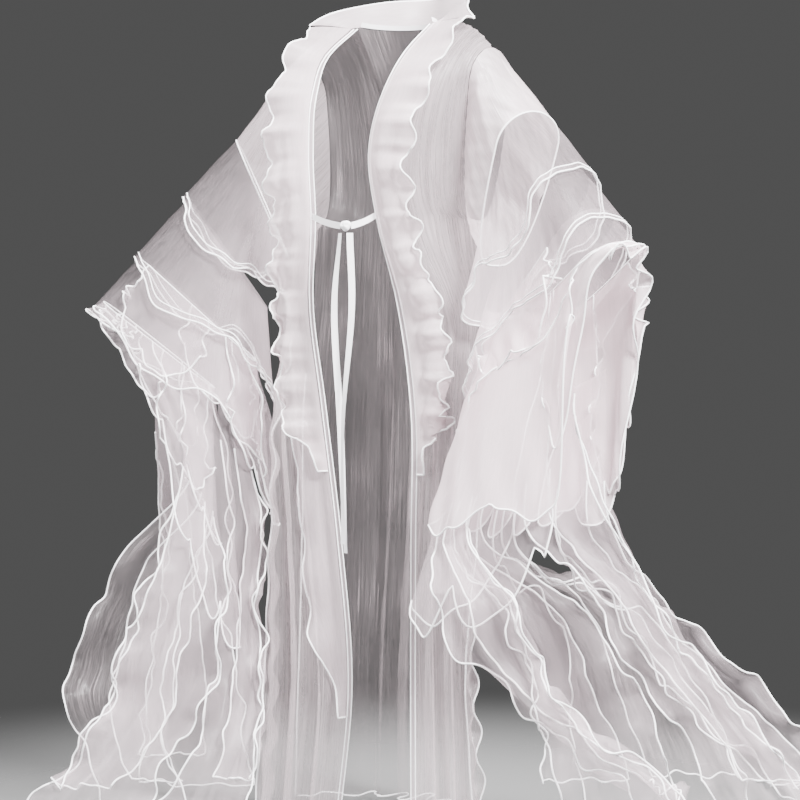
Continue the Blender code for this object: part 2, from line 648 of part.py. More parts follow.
def streamer_points(name, count, columns):
    side, tier, first, last, table = STREAMERS[name]
    share = np.linspace(0.0, 1.0, columns)
    turns = first + (last - first) * share
    held = [tier_points(side, tier, turns, (at,), -inset, 0.0)[0] for at, inset in STREAMER_HOLD]
    angle = math.radians(table.rows[0][4])
    if np.dot(held[1][-1] - held[1][0], (math.cos(angle), math.sin(angle), 0.0)) < 0.0:
        held = [row[::-1] for row in held]
    sections = held
    for row in table.rows:
        down, x, y, width, heading = row
        way = np.array((math.cos(math.radians(heading)), math.sin(math.radians(heading)), 0.0))
        sections.append(np.array((x, y, -down)) + np.outer((share - 0.5) * width, way))
    sections = np.array(sections)
    run = np.concatenate(([0.0], np.cumsum(np.linalg.norm(np.diff(sections.mean(axis=1), axis=0), axis=1))))
    keys = np.linspace(0.0, run[-1], count)
    grid = np.empty((count, columns, 3))
    for j in range(columns):
        for k in range(3):
            path = Table("run value", np.stack((run, sections[:, j, k]), axis=-1))
            grid[:, j, k] = path.at("value", keys)
    down_way = np.gradient(grid, axis=0)
    across_way = np.gradient(grid, axis=1)
    normal = unit(np.cross(across_way, down_way))
    free = smooth((keys / run[-1] - 0.22) / 0.3)
    edge = np.abs(share * 2.0 - 1.0) ** 1.5
    ripple = np.cos(2.0 * math.pi * keys / STREAMER_WAVE_LENGTH + first * 9.0)
    belly = 0.5 * np.cos(math.pi * keys / run[-1] * 2.2 + tier)
    lift = STREAMER_WAVE * free[:, None] * (ripple[:, None] * edge * np.sign(share - 0.5) + belly[:, None])
    return grid + normal * lift[:, :, None]


def build_streamers():
    for name in STREAMERS:
        slot = "organza_crinkle" if name.startswith("train") else "organza_smooth"
        cloth(name, streamer_points(name, STRIP_ROWS, STRIP_COLUMNS + 1), slot)


clear_scene()
ROBE = bpy.data.collections.new("hanfu_robe")
bpy.context.scene.collection.children.link(ROBE)
build_body()
build_sleeves()
build_bands()
build_collars()
build_ties()
build_streamers()
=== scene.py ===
import math

import bmesh
import bpy
import numpy as np
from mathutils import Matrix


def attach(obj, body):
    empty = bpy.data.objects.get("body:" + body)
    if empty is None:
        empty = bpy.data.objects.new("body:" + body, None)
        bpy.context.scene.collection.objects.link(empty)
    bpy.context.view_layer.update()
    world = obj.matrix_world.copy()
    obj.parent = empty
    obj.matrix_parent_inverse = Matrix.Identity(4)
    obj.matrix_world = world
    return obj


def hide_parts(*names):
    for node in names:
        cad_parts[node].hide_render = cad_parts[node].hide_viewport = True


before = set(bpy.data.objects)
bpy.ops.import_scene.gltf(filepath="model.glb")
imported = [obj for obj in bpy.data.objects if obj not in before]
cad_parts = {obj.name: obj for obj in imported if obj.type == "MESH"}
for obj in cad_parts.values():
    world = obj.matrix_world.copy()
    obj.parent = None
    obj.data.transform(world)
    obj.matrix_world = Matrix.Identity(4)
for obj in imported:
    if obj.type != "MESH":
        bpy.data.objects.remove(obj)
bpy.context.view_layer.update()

# ---------------------------------------------------------------- sizes
WALL = 0.0012                 # thickness of every cloth wall
SEAM_GAP = 0.0003             # clear distance between two sewn pieces
LAYER = WALL + SEAM_GAP       # from the middle of one wall to the next one lying on it
RIDGE_SHIFT = 0.0002          # each piece stands back this far from a seam that runs over a ridge
SIDE_SHIFT = 0.0004           # the same at the underarm, where the edges turn a corner
SIDE_STEPS = 2.6              # the side edges step in by this many ridge shifts
LOWER_STEPS = 8.0             # and those of the fronts by this many more below the underarm
CLOTH_START = 0.85            # share of the band's width beyond which the cloth of a front starts

NECK_X = 0.070                # neck point, half width
NECK_BACK_Y = 0.062           # back of the neck opening
NECK_BACK_DROP = 0.004
SHOULDER_TIP = (0.180, 0.000, -0.045)
UNDERARM_SHARE = 0.27         # share of the body's rows that lies above the underarm
UNDERARM_DEPTH = 0.300        # depths below the shoulders
FRONT_HEM_DEPTH = 1.235
BACK_HEM_DEPTH = 1.250
SHIFT_START = 0.290           # the side edges' own lines are brought to the underarm from this depth
SHIFT_FADE = 0.16             # and the edges return to them over this much below it
NECK_SHARE = 0.42             # share of the back's top edge that the neck takes
ARMHOLE_TURN = 0.170          # over this distance the loops turn from the armhole to the arm

BAND_WIDTH = 0.007
BAND_LEAN = (0.002, 0.004)    # the band's lower and upper edge stand this far inside the neck's edge
EDGE_PROBE = 0.006            # distance over which the direction of a front at its opening edge is read
COLLAR_START = 0.0010         # distance of the collar's sewn edge from the band's seam
COLLAR_SEAM_LIFT = 0.0030
COLLAR_WAVES = 11
COLLAR_WAVE = 0.0075
COLLAR_UNEVEN = 0.005         # change of the ruffle's width over its waves
COLLAR_BACK_WAVES = 3
COLLAR_BACK_REACH = 0.030
COLLAR_BACK_RISE = 0.046
COLLAR_JOIN = 0.0010          # the back ruffle starts this far behind the front ones
COLLAR_BACK_LIFT = 0.0025
COLLAR_BACK_START = 0.0030    # its lower edge lies this far outside the neck's edge
COLLAR_SPAN = (0.004, 0.690)    # depths below the shoulders at which the front ruffles start and end
COLLAR_PHASE = {"right": 0.5, "left": 1.6}
NECK_STEP = 0.0030            # the neck's edge lies this far behind the neck points
STREAMER_WAVE = 0.012
STREAMER_HOLD = ((0.40, 0.004), (0.72, 0.007), (1.06, 0.009))    # shares of the flounce, distances inside it
STREAMER_WAVE_LENGTH = 0.115
STREAMER_FREE = 0.22          # the streamers wave below this share of their length

TIE_LEVEL = 0.300             # below the shoulders
TIE_WIDTH = 0.010
KNOT_SIZE = (0.019, 0.011, 0.016)

FRONT_COLUMNS = 33
ARMHOLE_ROWS = 24
SKIRT_ROWS = 33
STRIP_STEP = 0.004            # spacing of the rows of what lies along a front


class Table:
    """Rows of sizes with named columns, read smoothly between the rows by the first column."""

    def __init__(self, names, rows):
        self.names = names.split()
        self.rows = np.array(rows, dtype=float)

    def at(self, name, key):
        keys = self.rows[:, 0]
        values = self.rows[:, self.names.index(name)]
        slopes = np.gradient(values, keys)
        key = np.clip(key, keys[0], keys[-1])
        low = np.clip(np.searchsorted(keys, key) - 1, 0, len(keys) - 2)
        span = keys[low + 1] - keys[low]
        f = (key - keys[low]) / span
        return (values[low] * (2 * f**3 - 3 * f**2 + 1) + slopes[low] * span * (f**3 - 2 * f**2 + f)
                + values[low + 1] * (3 * f**2 - 2 * f**3) + slopes[low + 1] * span * (f**3 - f**2))


# Edges of the body pieces by depth below the shoulders.  Front: the opening edge and the outer edge.
FRONT_EDGES = {
    "right": Table("down front_x front_y side_x side_y bulge fold", (
        (0.000, -0.070, 0.000, -0.180, 0.000, 0.000, 0.000),
        (0.050, -0.071, -0.078, -0.176, -0.030, 0.010, 0.000),
        (0.110, -0.067, -0.118, -0.166, -0.050, 0.024, 0.000),
        (0.200, -0.063, -0.134, -0.160, -0.048, 0.034, 0.001),
        (0.300, -0.057, -0.136, -0.161, -0.036, 0.034, 0.002),
        (0.430, -0.066, -0.128, -0.172, -0.020, 0.026, 0.003),
        (0.585, -0.048, -0.122, -0.196, -0.050, 0.022, 0.007),
        (0.800, -0.024, -0.112, -0.205, -0.062, 0.014, 0.011),
        (1.020, -0.010, -0.104, -0.212, -0.066, 0.010, 0.014),
        (1.235, -0.034, -0.104, -0.226, -0.070, 0.008, 0.018))),
    "left": Table("down front_x front_y side_x side_y bulge fold", (
        (0.000, 0.070, 0.000, 0.180, 0.000, 0.000, 0.000),
        (0.050, 0.072, -0.074, 0.176, -0.030, 0.010, 0.000),
        (0.110, 0.060, -0.116, 0.166, -0.050, 0.024, 0.000),
        (0.200, 0.046, -0.138, 0.160, -0.048, 0.034, 0.001),
        (0.300, 0.058, -0.136, 0.161, -0.036, 0.034, 0.002),
        (0.430, 0.090, -0.122, 0.168, -0.014, 0.030, 0.003),
        (0.585, 0.108, -0.110, 0.170, -0.034, 0.016, 0.005),
        (0.800, 0.108, -0.108, 0.168, -0.040, 0.010, 0.008),
        (1.020, 0.106, -0.106, 0.176, -0.034, 0.008, 0.010),
        (1.235, 0.108, -0.108, 0.190, -0.030, 0.006, 0.014))),
}
BACK_EDGES = Table("down right_x right_y left_x left_y depth fold", (
    (0.000, -0.180, 0.000, 0.180, 0.000, 0.062, 0.000),
    (0.110, -0.178, 0.045, 0.178, 0.045, 0.098, 0.001),
    (0.200, -0.172, 0.040, 0.172, 0.040, 0.106, 0.001),
    (0.300, -0.166, 0.030, 0.166, 0.030, 0.104, 0.002),
    (0.430, -0.178, 0.026, 0.166, 0.026, 0.108, 0.004),
    (0.585, -0.202, 0.030, 0.152, 0.030, 0.136, 0.008),
    (0.800, -0.218, 0.046, 0.124, 0.044, 0.156, 0.013),
    (1.020, -0.236, 0.060, 0.094, 0.058, 0.172, 0.018),
    (1.250, -0.262, 0.084, 0.096, 0.080, 0.196, 0.024)))
FRONT_FOLDS = 3.5
BACK_FOLDS = 7.5

# The hanging loops of each sleeve by distance along the top of the arm.
SLEEVES = {
    "right": {
        "tip": (-0.180, 0.000, -0.045), "along": (-0.523, -0.366, -0.770),
        "loops": Table("along half height lean sway", (
            (0.000, 0.056, 0.262, 6.0, 0.000),
            (0.170, 0.064, 0.205, 24.0, 0.000),
            (0.290, 0.056, 0.215, 36.0, 0.000),
            (0.410, 0.047, 0.250, 48.0, 0.006),
            (0.500, 0.037, 0.225, 52.0, 0.010),
            (0.560, 0.034, 0.225, 54.0, 0.010)))},
    "left": {
        "tip": (0.180, 0.000, -0.045), "along": (0.679, -0.370, -0.634),
        "loops": Table("along half height lean sway", (
            (0.000, 0.056, 0.262, 6.0, 0.000),
            (0.170, 0.052, 0.240, 20.0, 0.020),
            (0.290, 0.047, 0.250, 32.0, 0.042),
            (0.410, 0.042, 0.280, 46.0, 0.058),
            (0.500, 0.038, 0.300, 57.0, 0.072),
            (0.560, 0.036, 0.300, 59.0, 0.076)))},
}

# Flounces of each sleeve: the seam, the advance along the top, the fall at the sides and the underside.
# The fall of the sides is reached at "knee", a share of the way round from the top to the underside.
TIER_NAMES = "seam advance side_fall under_fall knee forward waves wave phase"
TIERS = {
    "right": (
        (0.166, 0.130, 0.050, 0.085, 0.60, 0.000, 7, 0.0050, 0.4),
        (0.286, 0.130, 0.055, 0.130, 0.60, 0.000, 8, 0.0055, 1.3),
        (0.406, 0.108, 0.065, 0.150, 0.60, 0.004, 8, 0.0060, 2.6),
        (0.500, 0.030, 0.110, 0.190, 0.90, 0.008, 9, 0.0080, 0.9)),
    "left": (
        (0.166, 0.150, 0.050, 0.090, 0.60, 0.014, 7, 0.0050, 0.9),
        (0.300, 0.130, 0.055, 0.130, 0.60, 0.026, 8, 0.0055, 2.1),
        (0.400, 0.085, 0.075, 0.130, 0.60, 0.036, 8, 0.0060, 0.3),
        (0.480, 0.022, 0.290, 0.245, 0.30, 0.078, 9, 0.0085, 1.7)),
}


def smooth(share):
    share = np.clip(share, 0.0, 1.0)
    return share * share * (3.0 - 2.0 * share)


def unit(vector):
    vector = np.asarray(vector, dtype=float)
    return vector / np.maximum(np.linalg.norm(vector, axis=-1, keepdims=True), 1e-9)


# ---------------------------------------------------------------- sleeve forms
PROFILE_POINTS = 241          # points round a loop, from which its own are read
TANGENT_STEP = 0.012          # a loop's direction is read this share of it before and after a point
LOOP_FULLNESS = 0.62          # power of the sine below a loop's widest place: under 1 keeps its sides wide
TIER_STEP = LAYER * 1.6       # a flounce rises this far over the one it is sewn to
TIER_FLARE = 0.004            # and this much more by its hem


def loop_profile(half, height, turns):
    """Across and down of a hanging loop at shares of its girth from the top, with its outward normal."""
    angle = np.linspace(0.0, 2.0 * math.pi, PROFILE_POINTS)
    flat = np.sign(np.sin(angle)) * np.abs(np.sin(angle)) ** LOOP_FULLNESS
    across = half * np.where(np.cos(angle) > 0.0, np.sin(angle), flat)
    down = np.where(np.cos(angle) > 0.0, half * (1.0 - np.cos(angle)), half - (height - half) * np.cos(angle))
    girth = np.concatenate(([0.0], np.cumsum(np.hypot(np.diff(across), np.diff(down)))))
    turns = np.asarray(turns, dtype=float)

    def read(at):
        at = np.mod(at, 1.0) * girth[-1]
        return np.interp(at, girth, across), np.interp(at, girth, down)

    here = read(turns)
    after = read(turns + TANGENT_STEP)
    before = read(turns - TANGENT_STEP)
    tangent = unit(np.stack((after[0] - before[0], after[1] - before[1]), axis=-1))
    return here[0], here[1], tangent[..., 1], -tangent[..., 0]


def sleeve_axes(sleeve, distance):
    """Directions along the arm, level outwards and level to the front: the armhole faces straight out."""
    along = unit(sleeve["along"])
    straight = np.array((math.copysign(1.0, along[0]), 0.0, 0.0))
    turned = smooth(distance / ARMHOLE_TURN)
    out = unit(straight * (1.0 - turned) + unit((along[0], along[1], 0.0)) * turned)
    front = np.array((out[1], -out[0], 0.0)) * math.copysign(1.0, along[0])
    return along, out, front


def sleeve_loop(sleeve, distance, turns, lift):
    """Points of the loop at a distance along the arm, moved out by lift."""
    along, out, front = sleeve_axes(sleeve, distance)
    loops = sleeve["loops"]
    half = loops.at("half", distance)
    height = loops.at("height", distance)
    lean = math.radians(loops.at("lean", distance))
    sway = loops.at("sway", distance)
    across, down, across_n, down_n = loop_profile(half, height, turns)
    across = across + across_n * lift
    down = down + down_n * lift
    hang = -out * math.sin(lean) - np.array((0.0, 0.0, math.cos(lean)))
    top = np.array(sleeve["tip"]) + along * distance
    share = np.clip(down / height, 0.0, 1.1)
    return top + np.outer(across, front) + np.outer(down, hang) + np.outer(sway * share**1.5, front)


def tier_points(side, index, turns, shares, lift=0.0, waved=1.0):
    """Grid of a flounce: rows from its seam to its hem, columns round the loop."""
    sleeve = SLEEVES[side]
    sizes = dict(zip(TIER_NAMES.split(), TIERS[side][index]))
    along, _, front = sleeve_axes(sleeve, sizes["seam"])
    under = 0.5 - 0.5 * np.cos(2.0 * math.pi * turns)
    lower = smooth((under - 0.15) / 0.85)
    fall = sizes["side_fall"] * smooth(under / sizes["knee"])
    fall = fall + (sizes["under_fall"] - sizes["side_fall"]) * under**3
    advance = sizes["advance"] * (1.0 - lower) ** 1.2
    uneven = 0.9 * np.sin(2.0 * math.pi * turns + sizes["phase"])
    ripple = 1.0 + np.cos(2.0 * math.pi * sizes["waves"] * turns + sizes["phase"] + uneven)
    rows = []
    for share in shares:
        rise = TIER_STEP * smooth(share * 2.5) + TIER_FLARE * share
        out = lift + rise + waved * sizes["wave"] * share**1.7 * ripple * (0.35 + 0.65 * under)
        row = sleeve_loop(sleeve, sizes["seam"], turns, out)
        row = row + np.outer(advance * share, along) + np.outer(sizes["forward"] * lower * share, front)
        row[:, 2] -= fall * share
        rows.append(row)
    return np.array(rows)


# ---------------------------------------------------------------- body forms
def body_down(row_share, hem):
    """Depth below the shoulders at a share of the rows."""
    upper = row_share / UNDERARM_SHARE * UNDERARM_DEPTH
    below = (row_share - UNDERARM_SHARE) / (1.0 - UNDERARM_SHARE)
    lower = UNDERARM_DEPTH + below * (hem - UNDERARM_DEPTH)
    return np.where(row_share < UNDERARM_SHARE, upper, lower)


def armhole_point(side, row_share, half):
    """Armhole edge of the body: half is +1 for the front of the loop, -1 for its back."""
    turn = 0.5 * np.clip(row_share / UNDERARM_SHARE, 0.0, 1.0)
    turn = turn if half > 0 else 1.0 - turn
    return sleeve_loop(SLEEVES[side], 0.0, np.array([turn]), 0.0)[0]


def side_edge(side, half, row_share, down, table, name):
    """Side edge of the body by its table, and its shift to the armhole, which fades away lower down."""
    plain = np.array((table.at(name + "_x", down), table.at(name + "_y", down), -down))
    if row_share <= UNDERARM_SHARE:
        return plain, armhole_point(side, row_share, half) - plain
    start = (table.at(name + "_x", UNDERARM_DEPTH), table.at(name + "_y", UNDERARM_DEPTH), -SHIFT_START)
    shift = armhole_point(side, UNDERARM_SHARE, half) - np.array(start)
    return plain, shift * (1.0 - smooth((down - UNDERARM_DEPTH) / SHIFT_FADE))


def front_points(side, row_shares, column_shares):
    """Grid of a front: rows from the shoulder seam to the hem, columns from the opening to the side."""
    table = FRONT_EDGES[side]
    sign = 1.0 if side == "left" else -1.0
    rows = []
    for row_share in row_shares:
        step_in = RIDGE_SHIFT * (SIDE_STEPS + LOWER_STEPS * smooth((row_share - UNDERARM_SHARE) / 0.06))
        inset = np.array((-sign * step_in, 0.0, 0.0))
        down = float(body_down(row_share, FRONT_HEM_DEPTH))
        opening_x = table.at("front_x", down) + sign * BAND_WIDTH * CLOTH_START
        front = np.array((opening_x, table.at("front_y", down), -down))
        plain, pull = side_edge(side, 1.0, row_share, down, table, "side")
        shift = np.array((0.0, -SIDE_SHIFT * smooth(row_share / UNDERARM_SHARE) - RIDGE_SHIFT, 0.0))
        pull = pull + inset + shift
        edge = plain + pull
        s = np.asarray(column_shares)[:, None]
        row = front * (1.0 - s) + plain * s + pull * s**3
        bulge = table.at("bulge", down) * np.sin(math.pi * s[:, 0]) ** 0.8
        fold = table.at("fold", down) * np.cos(2.0 * math.pi * FRONT_FOLDS * s[:, 0] + 0.6 + 0.8 * down)
        fold = fold * smooth(s[:, 0] * 3.0)
        away = unit(np.array((edge[1] - front[1], front[0] - edge[0], 0.0)))
        away = away if away[1] < 0.0 else -away
        turned = smooth((down - UNDERARM_DEPTH) / 0.20)
        away = unit(away * turned + np.array((0.0, -1.0, 0.0)) * (1.0 - turned))
        row = row + np.outer(bulge + fold, away)
        row[:, 1] -= RIDGE_SHIFT * max(0.0, 1.0 - row_share * 8.0)
        rows.append(row)
    return np.array(rows)


def back_top(columns):
    """Top edge of the back: shoulder seam, neck curve, shoulder seam, from right to left."""
    tip = np.array(SHOULDER_TIP)
    neck = np.array((NECK_X, 0.0, 0.0))
    points = []
    for s in columns:
        sign = -1.0 if s < 0.5 else 1.0
        off_centre = abs(s - 0.5) * 2.0
        shoulder = (off_centre - NECK_SHARE) / (1.0 - NECK_SHARE)
        if shoulder >= 0.0:
            point = neck + (tip - neck) * shoulder
        else:
            angle = 0.5 * math.pi * off_centre / NECK_SHARE
            point = np.array((NECK_X * math.sin(angle), NECK_BACK_Y * math.cos(angle),
                              -NECK_BACK_DROP * math.cos(angle)))
        points.append(point * np.array((sign, 1.0, 1.0)))
    return np.array(points)


def back_points(row_shares, column_shares):
    """Grid of the back: rows from the top edge to the hem, columns from the right side to the left."""
    top = back_top(column_shares)
    s = np.asarray(column_shares)
    rows = []
    corrections = None
    for row_share in row_shares:
        down = float(body_down(row_share, BACK_HEM_DEPTH))
        ends = []
        pulls = []
        for side, sign in (("right", -1.0), ("left", 1.0)):
            plain, pull = side_edge(side, -1.0, row_share, down, BACK_EDGES, side)
            back = SIDE_SHIFT * smooth(row_share / UNDERARM_SHARE) + RIDGE_SHIFT
            ends.append(plain)
            pulls.append(pull + np.array((-sign * RIDGE_SHIFT * SIDE_STEPS, back, 0.0)))
        row = np.outer(1.0 - s, ends[0]) + np.outer(s, ends[1])
        row = row + np.outer((1.0 - s)**8, pulls[0]) + np.outer(s**8, pulls[1])
        middle = 0.5 * (ends[0][1] + ends[1][1])
        bulge = (BACK_EDGES.at("depth", down) - middle) * np.sin(math.pi * s) ** 0.7
        fold = BACK_EDGES.at("fold", down) * np.cos(2.0 * math.pi * BACK_FOLDS * s + 0.9 * down)
        row[:, 1] += bulge + fold * np.sin(math.pi * s) ** 0.5
        if corrections is None:
            corrections = top + np.array((0.0, 2.0 * RIDGE_SHIFT, 0.0)) - row
        row = row + corrections * max(0.0, 1.0 - row_share / UNDERARM_SHARE) ** 2
        rows.append(row)
    return np.array(rows)


# ---------------------------------------------------------------- trims on the fronts
def front_rows():
    return np.concatenate((np.linspace(0.0, UNDERARM_SHARE, ARMHOLE_ROWS + 1),
                           np.linspace(UNDERARM_SHARE, 1.0, SKIRT_ROWS + 1)[1:]))


def front_columns():
    """Column shares of a front, closer together by the opening, under the collar."""
    return np.linspace(0.0, 1.0, FRONT_COLUMNS + 1) ** 1.25


def row_share_at(down):
    """Row share of a front at a depth below the shoulders."""
    if down < UNDERARM_DEPTH:
        return down / UNDERARM_DEPTH * UNDERARM_SHARE
    below = (down - UNDERARM_DEPTH) / (FRONT_HEM_DEPTH - UNDERARM_DEPTH)
    return UNDERARM_SHARE + below * (1.0 - UNDERARM_SHARE)


def strip_downs(first, last):
    """Depths for the rows of a strip along a front: every row of the front, with more between them."""
    marks = [float(body_down(share, FRONT_HEM_DEPTH)) for share in front_rows()]
    marks = [first] + [m for m in marks if first + STRIP_STEP < m < last - STRIP_STEP] + [last]
    downs = [first]
    for low, high in zip(marks[:-1], marks[1:]):
        steps = max(1, round((high - low) / STRIP_STEP))
        downs.extend(np.linspace(low, high, steps + 1)[1:])
    return np.array(downs)


def front_strip(side, downs, across, lifts):
    """Grid lying on a front: across holds distances from its opening edge, lifts the heights above it."""
    shares = front_rows()
    grid = front_points(side, shares, front_columns())
    normals = unit(np.cross(np.gradient(grid, axis=1), np.gradient(grid, axis=0)))
    normals = np.where(normals[:, :, 1:2] > 0.0, -normals, normals)
    rows = []
    for i, down in enumerate(downs):
        at = np.interp(row_share_at(down), shares, np.arange(len(shares)))
        low = min(int(at), len(shares) - 2)
        f = at - low
        line = grid[low] * (1.0 - f) + grid[low + 1] * f
        ways = normals[low] * (1.0 - f) + normals[low + 1] * f
        run = np.concatenate(([0.0], np.cumsum(np.linalg.norm(np.diff(line, axis=0), axis=1))))
        here = np.stack([np.interp(across[i], run, line[:, k]) for k in range(3)], axis=-1)
        way = unit(np.stack([np.interp(across[i], run, ways[:, k]) for k in range(3)], axis=-1))
        rows.append(here + way * np.asarray(lifts[i])[:, None])
    return np.array(rows)


def band_points(side, downs):
    """Band sewn beyond the opening edge of a front, in line with the cloth there."""
    across = [np.array((0.0, EDGE_PROBE))] * len(downs)
    near = front_strip(side, downs, across, [np.zeros(2)] * len(downs))
    way = unit(near[:, 0] - near[:, 1])
    inner = near[:, 0] + way * SEAM_GAP * 2.0
    return np.stack((inner, inner + way * BAND_WIDTH * 0.5, inner + way * BAND_WIDTH), axis=1)


def neck_edge(angle):
    """Way out from the neck at an angle from the middle of its back, and the level edge there."""
    out = np.array((math.sin(angle), math.cos(angle), 0.0))
    return out, out * np.array((NECK_X, NECK_BACK_Y, 0.0))


def band_neck_points(count):
    """Band standing round the back of the neck."""
    rows = []
    for angle in np.linspace(-0.5 * math.pi, 0.5 * math.pi, count):
        out, edge = neck_edge(angle)
        edge = edge + np.array((0.0, NECK_STEP, -NECK_BACK_DROP * math.cos(angle) + LAYER))
        lower, upper = (edge - out * lean for lean in BAND_LEAN)
        rows.append((lower, upper + np.array((0.0, 0.0, BAND_WIDTH))))
    return np.array(rows)


# Front ruffles by depth below the shoulders: width, and the lift and flare that raise their free edge.
COLLAR = {
    "right": Table("down width lift flare", (
        (0.004, 0.062, 0.003, 0.012),
        (0.060, 0.054, 0.004, 0.012),
        (0.150, 0.056, 0.010, 0.010),
        (0.300, 0.064, 0.011, 0.010),
        (0.500, 0.064, 0.003, 0.013),
        (0.590, 0.060, 0.003, 0.012),
        (0.690, 0.008, 0.003, 0.003))),
    "left": Table("down width lift flare", (
        (0.004, 0.070, 0.004, 0.016),
        (0.060, 0.066, 0.004, 0.016),
        (0.150, 0.064, 0.012, 0.010),
        (0.300, 0.054, 0.011, 0.010),
        (0.500, 0.045, 0.003, 0.013),
        (0.590, 0.042, 0.003, 0.012),
        (0.690, 0.006, 0.003, 0.003))),
}


def collar_points(side, columns):
    """Grid of a front's gathered ruffle, from its seam beside the band to its free edge."""
    table = COLLAR[side]
    end = COLLAR_SPAN[1]
    downs = strip_downs(*COLLAR_SPAN)
    phase = COLLAR_PHASE[side]
    across = []
    lifts = []
    for down in downs:
        share = np.linspace(0.0, 1.0, columns)
        turn = 2.0 * math.pi * COLLAR_WAVES * (down / end) + phase + 0.8 * math.sin(9.0 * down + phase)
        wave = COLLAR_WAVE * (1.0 + math.cos(turn)) * min(1.0, (end + 0.010 - down) / 0.08)
        across.append(COLLAR_START + share * (table.at("width", down) + COLLAR_UNEVEN * math.sin(turn)))
        rise = COLLAR_SEAM_LIFT + table.at("lift", down) * share + table.at("flare", down) * share**2
        lifts.append(rise + wave * share**1.4)
    return front_strip(side, downs, across, lifts)


def collar_back_points(count, columns):
    """Standing ruffle behind the neck: it carries on from the front ruffles at both shoulder seams."""
    ends = {side: collar_points(side, columns)[0] for side in ("right", "left")}
    share = np.linspace(0.0, 1.0, columns)
    rows = []
    for angle in np.linspace(-0.5 * math.pi, 0.5 * math.pi, count):
        out, edge = neck_edge(angle)
        edge = edge + np.array((0.0, NECK_STEP, COLLAR_BACK_LIFT)) + out * COLLAR_BACK_START
        wave = COLLAR_WAVE * math.cos(2.0 * COLLAR_BACK_WAVES * angle + 0.6)
        reach = COLLAR_BACK_REACH * share + wave * share**1.5
        rise = COLLAR_BACK_RISE * share * (1.35 - 0.35 * share)
        row = edge + np.outer(reach, out) + np.outer(rise, (0.0, 0.0, 1.0))
        joined = (abs(angle) / (0.5 * math.pi)) ** 2.5
        end = ends["left" if angle > 0.0 else "right"] + np.array((0.0, COLLAR_JOIN, 0.0))
        rows.append(row * (1.0 - joined) + end * joined)
    return np.array(rows)


KNOT = (0.024, -0.164, -0.316)    # centre of the knot
TIE_SAG = 0.002
TWIST = 0.5                   # turn of a hanging end about its length, in radians

# Loose ends of the tie by share of their length.
TAILS = {
    "right": Table("share x y down", (
        (0.0, 0.0150, -0.1660, 0.327), (0.3, 0.0040, -0.1660, 0.445), (0.6, 0.0120, -0.1630, 0.600),
        (1.0, 0.0190, -0.1580, 0.810))),
    "left": Table("share x y down", (
        (0.0, 0.0330, -0.1660, 0.327), (0.3, 0.0385, -0.1690, 0.445), (0.6, 0.0250, -0.1720, 0.600),
        (1.0, 0.0215, -0.1680, 0.795))),
}


def ribbon_rows(centres, widths_way, width):
    """Grid of a flat ribbon: its two edges and its middle."""
    half = np.asarray(widths_way) * width * 0.5
    return np.stack((centres - half, centres, centres + half), axis=1)


def tie_points(side, sign, count):
    """Ribbon from the band of a front to the knot."""
    start = band_points(side, [TIE_LEVEL])[0][1] + np.array((0.0, -LAYER * 1.4, 0.0))
    end = np.array(KNOT) + np.array((sign * (KNOT_SIZE[0] * 0.5 + SEAM_GAP * 3.0), 0.0, 0.0))
    share = np.linspace(0.0, 1.0, count)[:, None]
    centres = start * (1.0 - share) + end * share
    centres[:, 2] -= TIE_SAG * np.sin(math.pi * share[:, 0])
    return ribbon_rows(centres, np.tile((0.0, 0.0, 1.0), (count, 1)), TIE_WIDTH)


def tail_points(side, sign, count):
    """Loose end of the tie, hanging from the knot."""
    table = TAILS[side]
    keys = np.linspace(0.0, 1.0, count)
    centres = np.array([(table.at("x", k), table.at("y", k), -table.at("down", k)) for k in keys])
    twist = TWIST * np.sin(5.0 * keys + sign)
    way = np.stack((np.cos(twist), np.sin(twist), np.zeros(count)), axis=-1)
    return ribbon_rows(centres, way, TIE_WIDTH)


